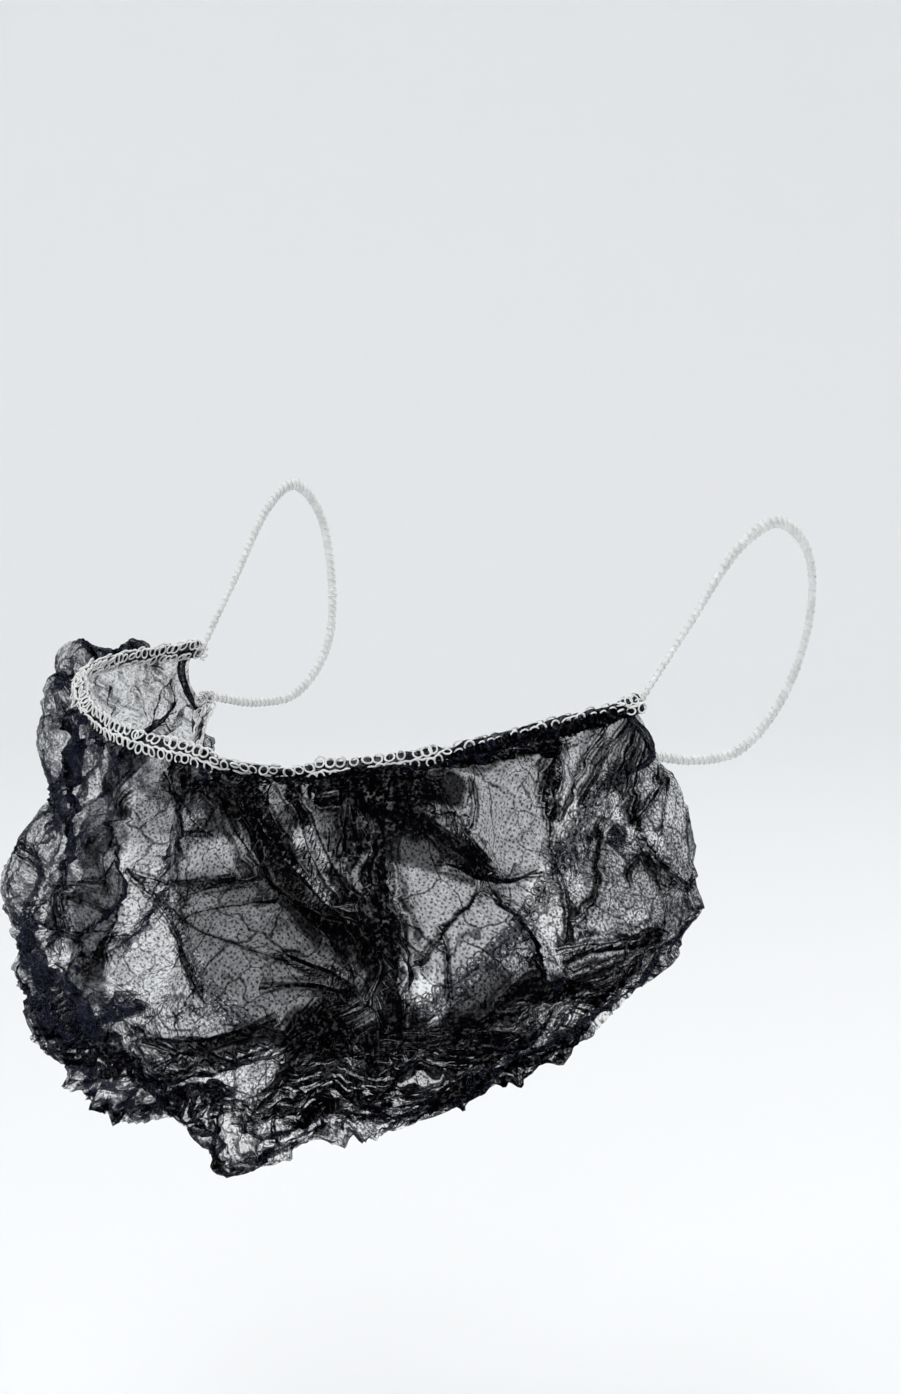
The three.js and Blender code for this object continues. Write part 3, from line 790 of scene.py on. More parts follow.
def fabric_material(name, options, plies):
    """See-through black non-woven: bonded dots, cloudy fibres and creases, darker where plies pack up, with
    a painted sheen where they are few.
    """
    g = Graph(name)
    cloth = g.node("ShaderNodeUVMap", {"uv_map": "UVMap"})
    spot = g.node("ShaderNodeTexCoord", {}, out=3)
    spare, packed, strand, travel, low, side = (
        g.node("ShaderNodeAttribute", {"attribute_name": word}, out=2)
        for word in ("spare", "packed", "strand", "travel", "slack_low", "slack_side"))
    slack = (low + side).math("MINIMUM", 1.0)

    # Bonded dots in rows at 45 degrees, with fibres and clouds of them between the dots.
    turned = g.node("ShaderNodeMapping", {}, Vector=cloth, Rotation=(0, 0, math.radians(45)))
    cells = {"voronoi_dimensions": "2D", "feature": "F1"}
    dots = g.node("ShaderNodeTexVoronoi", cells, Vector=turned, Scale=1 / options.dot_pitch, Randomness=0.6)
    fibres = g.noise(spot, FIBRES, 2.0, 0.7).step(0.34, 0.7)
    dots = 1 - (dots - 0.2 * (fibres - 0.5)).step(0.14, 0.36)
    clouds = g.noise(spot, CLOUDS, 2.0, 0.65)
    patches = g.noise(spot, PATCHES, 2.0, 0.5)

    # Creases: cracks between wide cells in some patches, and between fine cells in the others.
    bend = g.node("ShaderNodeTexNoise", {"noise_dimensions": "3D"}, out=1, Vector=cloth, Scale=BENDS,
                  Detail=2.0)
    bend = g.node("ShaderNodeVectorMath", {"operation": "MULTIPLY_ADD"}, bend, (0.009, 0.009, 0.0), cloth)
    edges = {"voronoi_dimensions": "2D", "feature": "DISTANCE_TO_EDGE"}
    wide = g.node("ShaderNodeTexVoronoi", edges, Vector=bend, Scale=WIDE_CREASES, Randomness=1.0)
    fine = g.node("ShaderNodeTexVoronoi", edges, Vector=bend, Scale=FINE_CREASES, Randomness=1.0)
    wide_line = (1 - wide.step(0.0, 0.04)) * patches.step(0.4, 0.55)
    fine_line = (1 - fine.step(0.0, 0.065)) * (1 - patches).step(0.42, 0.56)
    creases = wide_line + 0.8 * (1 - 0.7 * side) * fine_line

    # Pleats that run along the folds.
    pleat_place = g.node("ShaderNodeCombineXYZ", {}, 1.1 * strand, 0.06 * travel, 1.5 * patches)
    pleats = g.noise(pleat_place, 1.0, 3.0, 0.6).step(0.36, 0.66)

    # Streaks of crumpled cloth where it hangs slack: drawn out across it low down, and down it at the side.
    stretch = g.node("ShaderNodeCombineXYZ", {}, 0.7 - 0.4 * low, 0.3 + 0.7 * low, 0.0)
    pulled = g.node("ShaderNodeVectorMath", {"operation": "MULTIPLY"}, bend, stretch)
    broad = g.noise(pulled, BROAD_STREAKS, 2.0, 0.6).step(0.44, 0.66)
    thin = g.noise(pulled, THIN_STREAKS, 2.0, 0.6)
    thread_lines = 1 - (thin - 0.5).math("ABSOLUTE").step(0.0, 0.03)
    streaks = STREAK_PLIES * broad * thin.step(0.3, 0.6) + LINE_PLIES * thread_lines - 0.5
    flecks = g.noise(pulled, FLECKS, 2.0, 0.6).step(0.54, 0.6) * low

    # A crisp line along the middle of each fold, and one on each side of it.
    away = strand.math("ABSOLUTE")
    crisp = CREST_PLIES * (1 - away.step(0.1, 0.4))
    crisp = crisp + FLANK_PLIES * (1 - (away - 1.0).math("ABSOLUTE").step(0.05, 0.3))

    # How many plies lie at each place, and how much of the light they let through together.
    heaped = packed * packed.step(0.15, 0.8)
    layers = plies + spare + heaped * (0.4 + PLEAT_PLIES * pleats) + packed.step(0.2, 0.7) * crisp
    layers = layers + (low + 0.5 * side).math("MINIMUM", 1.0) * streaks
    loose = 1 - 0.7 * layers.step(3.0, 8.0)
    rough = low * (1 - side)
    layers = layers + (DOT_PLIES + 1.6 * clouds - 0.8 * slack) * dots + (CREASE_PLIES - 1.4 * side) * creases
    fibrous = (FIBRE_PLIES + 1.6 * rough) * (fibres - 0.45)
    cloudy = (CLOUD_PLIES - 0.8 * side) * (clouds - 0.5)
    layers = layers + loose * (fibrous + cloudy)
    layers = layers + PATCH_PLIES * (patches - 0.5)
    layers = (layers * (1 - 0.85 * flecks)).math("MAXIMUM", 0.25)
    through_all = options.clearness ** (layers + 0.1 * layers * layers)

    # The finish: a painted sheen makes the cloth paler where few plies lie and at the slack side, and some
    # fibres glint with a coat that reflects the lamps.
    glints = g.noise(spot, GLINTS, 1.0).step(0.5, 0.64) * clouds.step(0.42, 0.6)
    bump = g.node("ShaderNodeBump", {}, Strength=0.5, Distance=0.0004,
                  Height=clouds + 0.6 * dots + 0.8 * creases)
    # The base colour goes towards the paler painted sheen colour where few plies lie and at the slack side:
    # a painted sheen, not the fibres' own colour.
    tone = g.mix(1 - (layers - side).step(1.5, 6.0), options.colour, options.painted_sheen_colour)
    return g.finish(Base_Color=tone, Roughness=0.5 + 0.2 * clouds, Alpha=1 - through_all, Normal=bump,
                    Specular_IOR_Level=0.0, Coat_Weight=0.7 * glints, Coat_Roughness=0.35)


def thread_material(name, colour):
    """Textured polyester thread, a little fuzzy."""
    g = Graph(name)
    spot = g.node("ShaderNodeTexCoord", {}, out=3)
    fuzz = g.noise(spot, 1600.0, 3.0, 0.7)
    shade = g.noise(spot, 260.0, 2.0, 0.5)
    twist = g.node("ShaderNodeTexWave", {"bands_direction": "DIAGONAL"}, Vector=spot, Scale=900.0,
                   Distortion=3.0, Detail=1.0)
    shadow = [0.8 * channel for channel in colour]
    tone = g.mix((0.5 * fuzz + 0.5 * shade).step(0.35, 0.65), shadow, colour)
    bump = g.node("ShaderNodeBump", {}, Strength=0.6, Distance=0.0002, Height=fuzz + 0.6 * twist)
    return g.finish(Base_Color=tone, Roughness=0.75 + 0.2 * fuzz, Normal=bump, Sheen_Weight=0.3)


def corners_of(mesh):
    """The mesh's corner points."""
    places = np.empty(3 * len(mesh.vertices))
    mesh.vertices.foreach_get("co", places)
    return places.reshape(-1, 3)


def add_object(name, mesh, material, slot_name, *stands_for):
    """Puts a finished mesh in the scene as a piece of the net."""
    piece = bpy.data.objects.new(name, mesh)
    bpy.context.scene.collection.objects.link(piece)
    mesh.materials.append(material)
    mesh.shade_smooth()
    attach(piece, "root")
    if stands_for:
        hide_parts(*stands_for)
    return piece


def set_mask(mesh, name, values):
    """Stores a number at each corner point for the material to read."""
    layer = mesh.attributes.new(name, "FLOAT", "POINT")
    layer.data.foreach_set("value", np.ascontiguousarray(values, dtype=np.float32))


def moved_grid(name, columns, rows, place, tube=False, size=(1.0, 1.0), masks=()):
    """A grid whose corners go to place(u, v), in millimetres; a tube joins v = 0 to v = 1 and is closed.

    The size is what its map covers, and the masks are pairs of a name and a function of u and v."""
    shape = bmesh.new()
    bmesh.ops.create_grid(shape, x_segments=columns, y_segments=rows, size=0.5)
    mesh = bpy.data.meshes.new(name)
    shape.to_mesh(mesh)
    flat = corners_of(mesh)
    u, v = flat[:, 0] + 0.5, flat[:, 1] + 0.5
    mesh.vertices.foreach_set("co", (place(u, v) * MM).ravel())
    layer = mesh.uv_layers.new(name="UVMap")
    owner = np.empty(len(mesh.loops), int)
    mesh.loops.foreach_get("vertex_index", owner)
    layer.data.foreach_set("uv", (np.stack([u, v], axis=-1) * size)[owner].ravel())
    for mask, value_at in masks:
        set_mask(mesh, mask, value_at(u, v))
    if tube:
        shape.free()
        shape = bmesh.new()
        shape.from_mesh(mesh)
        bmesh.ops.remove_doubles(shape, verts=shape.verts, dist=1e-6)
        bmesh.ops.holes_fill(shape, edges=[e for e in shape.edges if e.is_boundary], sides=0)
        bmesh.ops.recalc_face_normals(shape, faces=shape.faces)
        shape.to_mesh(mesh)
    shape.free()
    return mesh


def set_cloth_map(mesh, across, down):
    """Replaces the flat map by metres over the cloth."""
    layer = mesh.uv_layers["UVMap"]
    owner = np.empty(len(mesh.loops), int)
    mesh.loops.foreach_get("vertex_index", owner)
    layer.data.foreach_set("uv", np.stack([across, down], axis=-1)[owner].ravel())


class Ribbon:
    """A route with its own directions at each place: ahead, across its width and out of its face."""

    def __init__(self, points, widthwise):
        gaps = np.linalg.norm(np.diff(points, axis=0), axis=1)
        self.along = np.concatenate([[0], np.cumsum(gaps)])
        self.length = self.along[-1]
        self.points = points
        ahead = unit(np.gradient(points, axis=0))
        self.width = unit(widthwise - dot(widthwise, ahead)[:, None] * ahead)
        self.out = np.cross(self.width, ahead)
        self.ahead = ahead

    def pick(self, table, distance):
        """The table's rows at the distances along the route."""
        return np.stack([np.interp(distance, self.along, table[:, axis]) for axis in range(3)], axis=-1)

    def place(self, distance, aside, out, roll=0.0):
        """Points at distances along the route, moved aside over its width and out of its face."""
        aside, out = np.broadcast_arrays(aside, out, subok=False)
        width = self.pick(self.width, distance)
        face = self.pick(self.out, distance)
        aside, out = rolled(aside, out, roll)
        points = self.pick(self.points, distance)
        return points + aside[..., None] * width + out[..., None] * face


def hem_ribbon(down):
    """The ribbon along the rim (down = 0) or the hem (down = 1), with its width lying in the fabric."""
    across = np.linspace(-1, 1, 361)
    points = draped(across, down)
    if down < 0.5:
        along_cloth = unit(draped(across, down + 0.04) - points)
        return Ribbon(points, 0.4 * along_cloth + np.array((0.0, 0.0, -0.6)))
    return Ribbon(points, points - draped(across, down - 0.04))


def between(first, last, start, end, at):
    """The straight way from first, at start, to last, at end."""
    return ((end - at) * first + (at - start) * last) / (end - start)


def loop_ribbon(side):
    """The ribbon of an ear loop; side is 1 on the wearer's left and -1 on the right."""
    knots = np.array([draped(1, 0), *LOOP_ROUTE, draped(1, 1)], float)
    ends = np.array([2 * knots[0] - knots[1], *knots, 2 * knots[-1] - knots[-2]])
    times = np.concatenate([[0], np.cumsum(np.sqrt(np.linalg.norm(np.diff(ends, axis=0), axis=1)))])
    route = []
    for k in range(len(knots) - 1):
        t = times[k:k + 4]
        at = np.linspace(t[1], t[2], 25)[:, None][:-1 if k < len(knots) - 2 else None]
        legs = [between(ends[k + n], ends[k + n + 1], t[n], t[n + 1], at) for n in range(3)]
        pairs = [between(legs[n], legs[n + 1], t[n], t[n + 2], at) for n in range(2)]
        route.append(between(pairs[0], pairs[1], t[1], t[2], at))
    points = evenly_along(np.concatenate(route), LOOP_STEP)
    widthwise = np.stack([np.zeros(len(points)), points[:, 1] + 8, points[:, 2] + 26], axis=-1)
    points[:, 0] *= side
    return Ribbon(points, side * widthwise)


def swept(name, ribbon, columns, sides, shape, start=0.0, end=1.0, masks=()):
    """A closed tube along a ribbon; shape(share, angle) gives how far aside and out its skin lies."""

    def place(u, v):
        share = start + (end - start) * u
        aside, out = shape(share, 2 * np.pi * v)
        return ribbon.place(share * ribbon.length, aside, out)

    girth = 7.0
    size = ((end - start) * ribbon.length * MM, girth * MM)
    return moved_grid(name, columns, sides, place, tube=True, size=size, masks=masks)


def thread_ring(radius, thickness):
    """A small ring of thread with few faces, flat in x and y."""
    shape = bmesh.new()
    circle = bmesh.ops.create_circle(shape, segments=4, radius=thickness / 2)
    quarter = Matrix.Rotation(math.pi / 2, 4, "X")
    bmesh.ops.transform(shape, matrix=Matrix.Translation((radius, 0, 0)) @ quarter, verts=circle["verts"])
    bmesh.ops.spin(shape, geom=shape.verts[:] + shape.edges[:], axis=(0, 0, 1), cent=(0, 0, 0), steps=11,
                   angle=2 * math.pi, use_merge=True)
    bmesh.ops.recalc_face_normals(shape, faces=shape.faces)
    mesh = bpy.data.meshes.new("thread_ring")
    shape.to_mesh(mesh)
    shape.free()
    return mesh


def joined_copies(name, pattern, matrices):
    """One mesh with a copy of the pattern at each of the matrices, in millimetres."""
    shape = bmesh.new()
    to_metres = Matrix.Scale(MM, 4)
    for matrix in matrices:
        known = len(shape.verts)
        shape.from_mesh(pattern)
        shape.verts.ensure_lookup_table()
        bmesh.ops.transform(shape, matrix=to_metres @ matrix, verts=shape.verts[known:])
    mesh = bpy.data.meshes.new(name)
    shape.to_mesh(mesh)
    shape.free()
    return mesh


def ring_matrix(ribbon, distance, aside, out, roll, lengths, lean, tip):
    """Sets a ring on the ribbon: lengths are its size ahead and aside, lean turns it, tip tilts it."""
    distance = np.array([distance])
    centre = ribbon.place(distance, np.array([aside]), np.array([out]), roll)[0]
    width = ribbon.place(distance, np.array([aside + 1]), np.array([out]), roll)[0] - centre
    face = ribbon.place(distance, np.array([aside]), np.array([out + 1]), roll)[0] - centre
    ahead = np.cross(face, width)
    axes = Matrix(np.stack([ahead, width, face], axis=-1).tolist()).to_4x4()
    turn = Matrix.Rotation(tip, 4, "X") @ Matrix.Rotation(lean, 4, "Z")
    size = Matrix.Diagonal((lengths[0], lengths[1], 1, 1))
    return Matrix.Translation(centre) @ axes @ turn @ size


def overlock(ribbon, options, seed, roll_at):
    """Where each ring of thread goes: two rows on the face and two on the back of the edge."""
    draw = np.random.default_rng(seed)
    pitch = options.stitch_pitch / MM
    half = options.band_width / MM / 4
    matrices = []
    for face in (1, -1):
        for row in (1, -1):
            count = int(ribbon.length / pitch)
            for k in range(count):
                distance = (k + 0.5 + 0.2 * draw.normal()) * ribbon.length / count
                roll = roll_at(distance / ribbon.length)
                aside = row * half * 1.05 - 0.35 + 0.18 * draw.normal()
                lengths = (draw.uniform(0.78, 1.12), draw.uniform(0.8, 1.2))
                lean = 0.3 * draw.normal() - 0.4 * row
                tip = -face * (0.2 * row - 0.1 + 0.25 * draw.normal())
                out = 0.7 + face * (0.8 + 0.15 * row)
                matrices.append(ring_matrix(ribbon, distance, aside, out, roll, lengths, lean, tip))
    return matrices


class FabricOptions(bpy.types.PropertyGroup):
    """Sizes and colours of the net's fabric"""

    columns: IntProperty(
        name="Columns", description="Cells of fabric from corner to corner", default=420)
    rows: IntProperty(name="Rows", description="Cells of fabric from rim to hem", default=236)
    gather: FloatProperty(
        name="Gather", description="Height of the folds, as a share of their usual height", default=1.0)
    crumple: FloatProperty(
        name="Crumple", description="Depth of the facets, as a share of their usual depth", default=1.0)
    dot_pitch: FloatProperty(
        name="Dot Pitch", description="Distance between the bonded dots", default=0.00105,
        subtype="DISTANCE", unit="LENGTH", precision=5)
    clearness: FloatProperty(
        name="Clearness", description="Share of the light that one ply lets through", default=0.71)
    colour: FloatVectorProperty(
        name="Colour", description="Colour of the fibres", subtype="COLOR", default=(0.001, 0.001, 0.0015))
    # The painted sheen colour: a paler colour that stands in for the cloth's sheen where few plies lie and
    # at the slack side.
    painted_sheen_colour: FloatVectorProperty(
        name="Painted Sheen Colour", description="Painted sheen colour of the cloth where few plies lie", subtype="COLOR",
        default=(0.013, 0.015, 0.028))


class ElasticOptions(bpy.types.PropertyGroup):
    """Sizes and colours of the elastics and their stitches"""

    band_width: FloatProperty(
        name="Band Width", description="Width of the overlocked edge", default=0.0052, subtype="DISTANCE",
        unit="LENGTH", precision=5)
    stitch_pitch: FloatProperty(
        name="Stitch Pitch", description="Distance between neighbouring stitches", default=0.0025,
        subtype="DISTANCE", unit="LENGTH", precision=5)
    thread: FloatProperty(
        name="Thread", description="Thickness of the overlock thread", default=0.0005,
        subtype="DISTANCE", unit="LENGTH", precision=5)
    thread_colour: FloatVectorProperty(
        name="Thread Colour", description="Colour of the rim's thread and the ear loops", subtype="COLOR",
        default=(0.86, 0.87, 0.86))


class StageOptions(bpy.types.PropertyGroup):
    """The plain studio round the net"""

    floor_drop: FloatProperty(
        name="Floor Drop", description="How far the floor lies below the net", default=0.12,
        subtype="DISTANCE", unit="LENGTH")
    radius: FloatProperty(
        name="Radius", description="Radius of the backdrop's wall", default=2.2, subtype="DISTANCE",
        unit="LENGTH")
    colour: FloatVectorProperty(
        name="Colour", description="Colour of the floor and backdrop", subtype="COLOR",
        default=(0.88, 0.89, 0.9))


class BEARDNET_OT_set_stage(bpy.types.Operator):
    """Sets up the camera, the pale floor with its backdrop and the soft lights"""

    bl_idname = "beard_net.set_stage"
    bl_label = "Set Stage"

    def execute(self, context):
        options = context.scene.beard_net_stage
        self.add_camera(context.scene)
        self.add_backdrop(options)
        target = Vector(VIEW_TARGET) * MM
        lamps = (
            ("key_light", (0.5, -1.1, 0.9), 0.6, 6.0),
            ("fill_light", (-1.2, -0.7, 0.3), 1.0, 2.0),
            ("top_light", (0.1, 0.1, 1.4), 1.2, 5.0),
            ("back_light", (0.4, 1.2, 0.5), 1.0, 3.0),
        )
        for name, place, size, power in lamps:
            light = bpy.data.lights.new(name, "AREA")
            light.shape = "DISK"
            light.size = size
            light.energy = power
            lamp = bpy.data.objects.new(name, light)
            lamp.location = place
            lamp.rotation_euler = (Vector(place) - target).to_track_quat("Z", "Y").to_euler()
            context.scene.collection.objects.link(lamp)
        world = bpy.data.worlds.new("studio_air")
        world.use_nodes = True
        world.node_tree.nodes["Background"].inputs["Color"].default_value = (1.0, 1.0, 1.0, 1)
        world.node_tree.nodes["Background"].inputs["Strength"].default_value = 0.85
        context.scene.world = world
        context.scene.view_settings.view_transform = "Standard"
        return {"FINISHED"}

    def add_camera(self, scene):
        """Places the camera at the view's turn, rise and distance."""
        turn, rise = math.radians(VIEW_TURN), math.radians(VIEW_RISE)
        back = Vector((math.sin(turn) * math.cos(rise), -math.cos(turn) * math.cos(rise), math.sin(rise)))
        data = bpy.data.cameras.new("camera")
        data.lens = LENS
        data.clip_start = 0.01
        data.clip_end = 20.0
        camera = bpy.data.objects.new("camera", data)
        camera.location = (Vector(VIEW_TARGET) + back * VIEW_DISTANCE) * MM
        camera.rotation_euler = back.to_track_quat("Z", "Y").to_euler()
        scene.collection.objects.link(camera)
        scene.camera = camera

    def add_backdrop(self, options):
        """Spins the floor's outline into a round room with a curved foot and no seams."""
        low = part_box("net_pouch")[0].z - options.floor_drop
        cove, height = 0.8, 2.6
        outline = [(0.001, low)]
        for k in range(13):
            angle = math.radians(90 * k / 12)
            across = options.radius - cove + cove * math.sin(angle)
            outline.append((across, low + cove - cove * math.cos(angle)))
        outline.append((options.radius, height))
        shape = bmesh.new()
        points = [shape.verts.new((x, 0, z)) for x, z in outline]
        edges = [shape.edges.new(pair) for pair in zip(points, points[1:])]
        bmesh.ops.spin(shape, geom=points + edges, axis=(0, 0, 1), cent=(0, 0, 0), steps=64,
                       angle=2 * math.pi, use_merge=True)
        bmesh.ops.remove_doubles(shape, verts=shape.verts, dist=0.002)
        bmesh.ops.recalc_face_normals(shape, faces=shape.faces)
        mesh = bpy.data.meshes.new("backdrop")
        shape.to_mesh(mesh)
        shape.free()
        mesh.flip_normals()
        mesh.shade_smooth()
        g = Graph("backdrop_paper")
        grain = g.noise(g.node("ShaderNodeTexCoord", {}, out=3), 40.0)
        mesh.materials.append(g.finish(Base_Color=(*options.colour, 1), Roughness=0.8 + 0.1 * grain))
        backdrop = bpy.data.objects.new("backdrop", mesh)
        bpy.context.scene.collection.objects.link(backdrop)


class BEARDNET_OT_add_pouch(bpy.types.Operator):
    """Adds the gathered pouch of thin black fabric"""

    bl_idname = "beard_net.add_pouch"
    bl_label = "Add Pouch"

    def execute(self, context):
        options = context.scene.beard_net_fabric
        cloth = None

        def place(u, v):
            nonlocal cloth
            cloth = Cloth(CORNER * (2 * u - 1), np.clip(1 - v, 0, 1))
            cloth.lay_folds(options.gather)
            cloth.lay_panels()
            cloth.lay_crowds()
            cloth.lay_facets(options.crumple)
            return cloth.placed()

        mesh = moved_grid("net_fabric", options.columns, options.rows, place)
        set_cloth_map(mesh, *self.cloth_metres(cloth.laid, cloth.across, cloth.down))
        for name, values in cloth.masks().items():
            set_mask(mesh, name, values)
        material = fabric_material("net_fabric", options, 1.0)
        piece = add_object("net_fabric", mesh, material, "net_fabric", "net_pouch")
        return {"FINISHED"}

    def cloth_metres(self, points, across, down):
        """Metres over the flat cloth, found so that each cell keeps its size as nearly as all can."""
        rows = len(np.unique(np.round(down, 5)))
        order = np.lexsort((across, np.round(down, 5)))
        grid = points[order].reshape(rows, -1, 3)
        along = np.gradient(grid, axis=1)
        fall = np.gradient(grid, axis=0)
        ahead = unit(along)
        below = unit(fall - dot(fall, ahead)[..., None] * ahead)
        result = []
        for direction in (ahead, below):
            flat = integrated(dot(along, direction), dot(fall, direction))
            values = np.empty(len(points))
            values[order] = flat.ravel() * MM
            result.append(values)
        return result


def rim_roll(share):
    """How far the rim's stitched edge is rolled inwards, along it from the right corner to the left."""
    rolled = 2.6 * smooth((share - 0.77) / 0.04) * smooth((0.985 - share) / 0.02)
    return rolled - 1.0 * smooth((share - 0.53) / 0.04) * smooth((0.67 - share) / 0.03)


def no_roll(share):
    """An edge that lies flat."""
    return 0.0 * share


class BEARDNET_OT_add_edges(bpy.types.Operator):
    """Adds the overlocked elastics along the rim and the chin hem"""

    bl_idname = "beard_net.add_edges"
    bl_label = "Add Edges"

    def execute(self, context):
        options = context.scene.beard_net_elastic
        fabric = fabric_material("gathered_edge", context.scene.beard_net_fabric, 3.0)
        thread = thread_material("overlock_thread", options.thread_colour)
        hem_fabric = fabric_material("hem_edge", context.scene.beard_net_fabric, 0.1)
        ring = thread_ring(STITCH_RADIUS, options.thread / MM)
        edges = (
            ("rim", hem_ribbon(0), rim_roll, 31, "rim_elastic", fabric, 2.2),
            ("chin", hem_ribbon(1), no_roll, 32, "chin_elastic", hem_fabric, 1.4),
        )
        for name, ribbon, roll_at, seed, node, cover, half in edges:
            core = self.core(f"{name}_core", ribbon, roll_at, half)
            add_object(f"{name}_core", core, cover, "net_fabric", node)
            rings = joined_copies(f"{name}_stitches", ring, overlock(ribbon, options, seed, roll_at))
            add_object(f"{name}_stitches", rings, thread, "elastic", node)
            chain = self.chain(f"{name}_chain", ribbon, roll_at, options)
            add_object(f"{name}_chain", chain, thread, "elastic", node)
        self.add_rolled_rim(hem_ribbon(0), fabric)
        return {"FINISHED"}

    def core(self, name, ribbon, roll_at, half):
        """The fabric's folded edge with the elastic in it; half is half its width."""
        wobble = np.random.default_rng(5).uniform(0, 6.28, 4)

        def skin(share, angle):
            bulk = 1 + 0.08 * np.sin(190 * share + wobble[0]) + 0.06 * np.sin(431 * share + wobble[1])
            aside, out = half * bulk * np.cos(angle), 0.7 + 0.55 * bulk * np.sin(angle)
            return rolled(aside, out, roll_at(share))

        return swept(name, ribbon, 420, 12, skin)

    def chain(self, name, ribbon, roll_at, options):
        """The thread that runs along the middle of the stitches."""
        radius = 0.55 * options.thread / MM
        pitch = options.stitch_pitch / MM

        def skin(share, angle):
            wave = 2 * np.pi * share * ribbon.length / pitch
            aside = 0.16 * np.sin(wave) + 0.1 * np.sin(0.37 * wave) + radius * np.cos(angle)
            out = 1.62 + 0.1 * np.cos(0.5 * wave) + radius * np.sin(angle)
            return rolled(aside, out, roll_at(share))

        return swept(name, ribbon, 900, 6, skin)

    def add_rolled_rim(self, ribbon, fabric):
        """The gathered fabric that rolls over the left half of the rim."""
        draw = np.random.default_rng(12)
        phases = draw.uniform(0, 1, 6)

        def skin(share, angle):
            distance = share * ribbon.length
            pleat = triangle(distance / 2.3 + 0.6 * triangle(distance / 9.1 + phases[0]) + phases[1])
            finer = triangle(distance / 1.1 + phases[2] + 0.2 * np.sin(3 * angle))
            lump = np.sin(distance / 3.7 + 2 * np.sin(angle + 6 * phases[3]))
            ends = smooth((share - 0.76) / 0.05) * smooth((1.0 - share) / 0.03)
            radius = (0.5 + 1.15 * ends) * (1 + 0.16 * pleat + 0.1 * finer + 0.16 * lump)
            return 0.35 + radius * np.cos(angle), 0.5 * ends + 0.8 * radius * np.sin(angle)

        gathers = (("packed", lambda u, v: 1.4 + 0 * u), ("strand", lambda u, v: 65 * u),
                   ("travel", lambda u, v: 7 * v))
        mesh = swept("rolled_rim", ribbon, 400, 22, skin, 0.76, 1.0, gathers)
        add_object("rolled_rim", mesh, fabric, "net_fabric")


class BEARDNET_OT_add_loops(bpy.types.Operator):
    """Adds the two elastic ear loops"""

    bl_idname = "beard_net.add_loops"
    bl_label = "Add Ear Loops"

    def execute(self, context):
        options = context.scene.beard_net_elastic
        thread = thread_material("loop_thread", options.thread_colour)
        for side, word in ((1, "left"), (-1, "right")):
            ribbon = loop_ribbon(side)
            node = f"ear_loop_{word}"
            strap = swept(f"{node}_strap", ribbon, 160, 12, self.strap_skin)
            add_object(f"{node}_strap", strap, thread, "elastic", node)
            ring = thread_ring(WRAP_RADIUS, WRAP_THREAD)
            wraps = joined_copies(f"{node}_wraps", ring, self.wraps(ribbon, 40 + side))
            add_object(f"{node}_wraps", wraps, thread, "elastic", node)
        return {"FINISHED"}

    def half_width(self, share):
        """Half the strap's width: drawn out thin near the rim and fuller over the ear."""
        return 0.75 + 0.65 * smooth((share - 0.06) / 0.3) - 0.35 * smooth((share - 0.6) / 0.3)

    def strap_skin(self, share, angle):
        """The strap's flat section."""
        half = self.half_width(share)
        return half * np.cos(angle), 0.5 * np.sin(angle)

    def wraps(self, ribbon, seed):
        """Where each turn of the thread round the strap goes, leaning to and fro."""
        draw = np.random.default_rng(seed)
        count = int(ribbon.length / WRAP_PITCH)
        matrices = []
        for k in range(count):
            share = (k + 0.5 + 0.1 * draw.normal()) / count
            half = self.half_width(share) + 0.1
            frame_here = ring_matrix(ribbon, share * ribbon.length, 0.0, 0.0, 0.0, (1, 1), 0, 0)
            lean = (0.5 if k % 2 else -0.35) + 0.12 * draw.normal()
            across_route = Matrix.Rotation(math.pi / 2, 4, "Y")
            size = Matrix.Diagonal((0.62, half, 1, 1))
            matrices.append(frame_here @ Matrix.Rotation(lean, 4, "Z") @ across_route @ size)
        return matrices


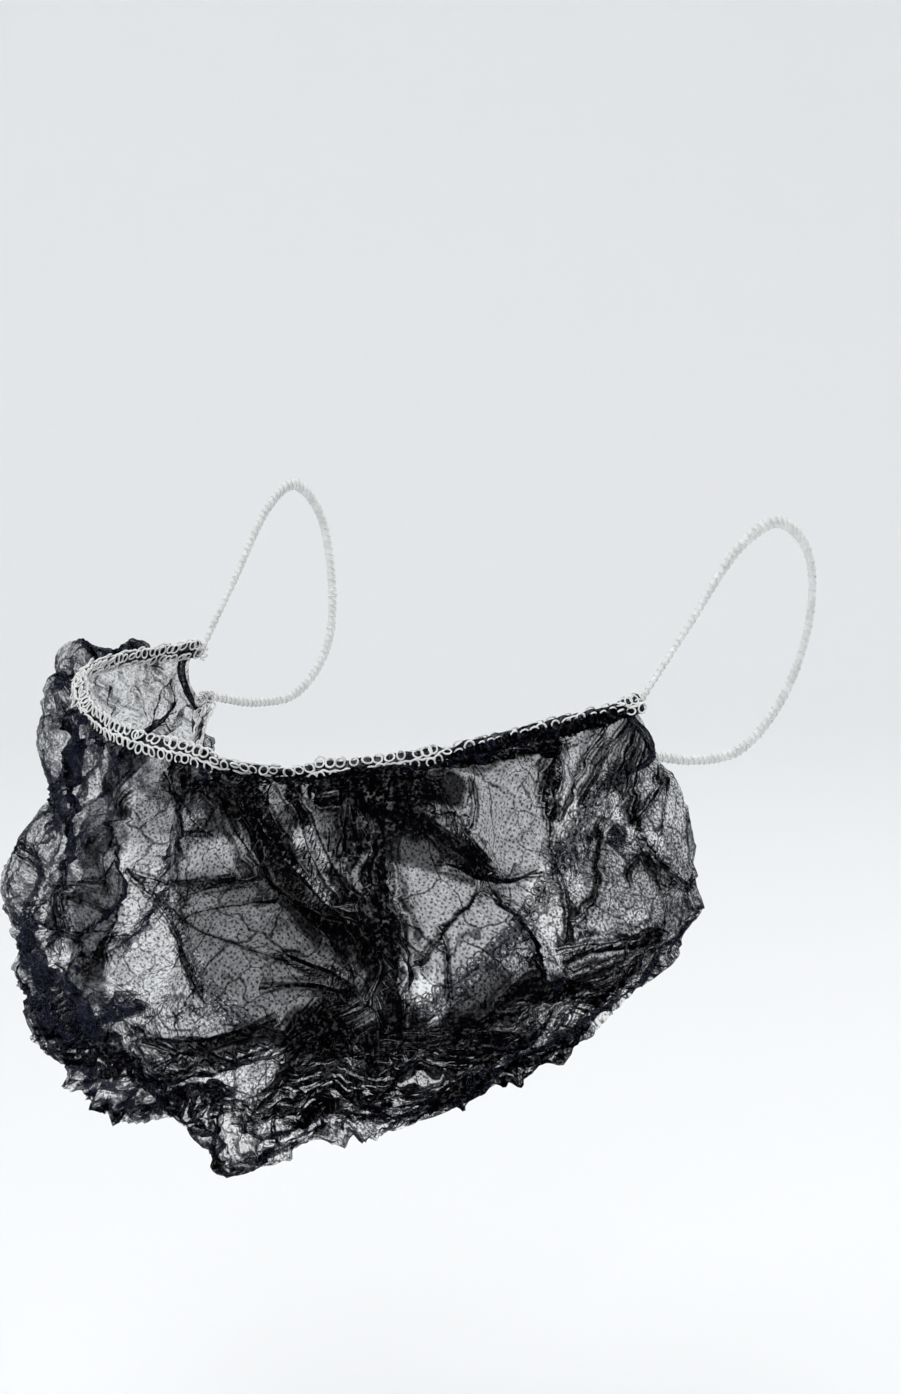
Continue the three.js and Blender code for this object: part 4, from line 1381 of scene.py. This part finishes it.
class BEARDNET_OT_add_tufts(bpy.types.Operator):
    """Adds the bunched fabric and the knotted thread at the two corners"""

    bl_idname = "beard_net.add_tufts"
    bl_label = "Add Corner Tufts"

    def execute(self, context):
        fabric = fabric_material("corner_tuft", context.scene.beard_net_fabric, 0.8)
        thread = thread_material("knot_thread", context.scene.beard_net_elastic.thread_colour)
        for side, word in ((1, "left"), (-1, "right")):
            down = np.linspace(0, 1, 60)
            points = evenly_along(draped(0.965 * side, down), 0.3)
            ribbon = Ribbon(points, outward(0.9 * side, np.linspace(0, 1, len(points))))
            pleats = (("packed", lambda u, v: 1.2 + 0 * u), ("strand", lambda u, v: 12 * v),
                      ("travel", lambda u, v: 15 * u))
            mesh = swept(f"corner_tuft_{word}", ribbon, 60, 44, self.tuft_skin, masks=pleats)
            add_object(f"corner_tuft_{word}", mesh, fabric, "net_fabric")
            ring = thread_ring(KNOT_RADIUS, KNOT_THREAD)
            knot = joined_copies(f"corner_knot_{word}", ring, self.knot(side))
            add_object(f"corner_knot_{word}", knot, thread, "elastic")
        return {"FINISHED"}

    def tuft_skin(self, share, angle):
        """Deep pleats round the gathered end of the fabric."""
        bulge = 0.75 + 0.5 * np.sin(np.pi * np.clip(share, 0, 1)) ** 0.7
        pleat = triangle(7 * angle / (2 * np.pi) + 0.6 * np.sin(5 * share) + 0.2 * np.sin(17 * share))
        lump = np.sin(11 * share + 3 * angle)
        radius = (0.9 - 0.6 * share) * bulge * (1 + 0.3 * pleat) * (1 + 0.12 * lump)
        return radius * np.cos(angle), radius * np.sin(angle)

    def knot(self, side):
        """Rings of thread in a small heap at each end of the ear loop."""
        draw = np.random.default_rng(60 + side)
        matrices = []
        for down, count in ((0.0, 11), (1.0, 8)):
            centre = draped(side, down)
            for _ in range(count):
                place = Vector(centre + 0.8 * draw.normal(size=3))
                turn = Vector(draw.normal(size=3)).to_track_quat("Z", "Y").to_matrix().to_4x4()
                size = Matrix.Diagonal((draw.uniform(0.8, 1.4), draw.uniform(0.6, 1.0), 1, 1))
                matrices.append(Matrix.Translation(place) @ turn @ size)
        return matrices


class BEARDNET_PT_pieces(bpy.types.Panel):
    """The pieces of the beard net"""

    bl_label = "Beard Net"
    bl_idname = "BEARDNET_PT_pieces"
    bl_space_type = "VIEW_3D"
    bl_region_type = "UI"
    bl_category = "Beard Net"

    def draw(self, context):
        for operator in OPERATORS:
            self.layout.operator(operator.bl_idname)
        for group, owner in OPTIONS:
            for name in owner.__annotations__:
                self.layout.prop(getattr(context.scene, group), name)


OPTIONS = (
    ("beard_net_fabric", FabricOptions),
    ("beard_net_elastic", ElasticOptions),
    ("beard_net_stage", StageOptions),
)
OPERATORS = (
    BEARDNET_OT_set_stage,
    BEARDNET_OT_add_pouch,
    BEARDNET_OT_add_edges,
    BEARDNET_OT_add_loops,
    BEARDNET_OT_add_tufts,
)


def register():
    for _, owner in OPTIONS:
        bpy.utils.register_class(owner)
    for operator in OPERATORS:
        bpy.utils.register_class(operator)
    bpy.utils.register_class(BEARDNET_PT_pieces)
    for group, owner in OPTIONS:
        setattr(bpy.types.Scene, group, PointerProperty(type=owner))


def unregister():
    for group, _ in OPTIONS:
        delattr(bpy.types.Scene, group)
    bpy.utils.unregister_class(BEARDNET_PT_pieces)
    for operator in reversed(OPERATORS):
        bpy.utils.unregister_class(operator)
    for _, owner in reversed(OPTIONS):
        bpy.utils.unregister_class(owner)


def main():
    """Makes the net and its stage."""
    register()
    bpy.ops.beard_net.set_stage()
    bpy.ops.beard_net.add_pouch()
    bpy.ops.beard_net.add_edges()
    bpy.ops.beard_net.add_loops()
    bpy.ops.beard_net.add_tufts()


if __name__ == "__main__":
    main()
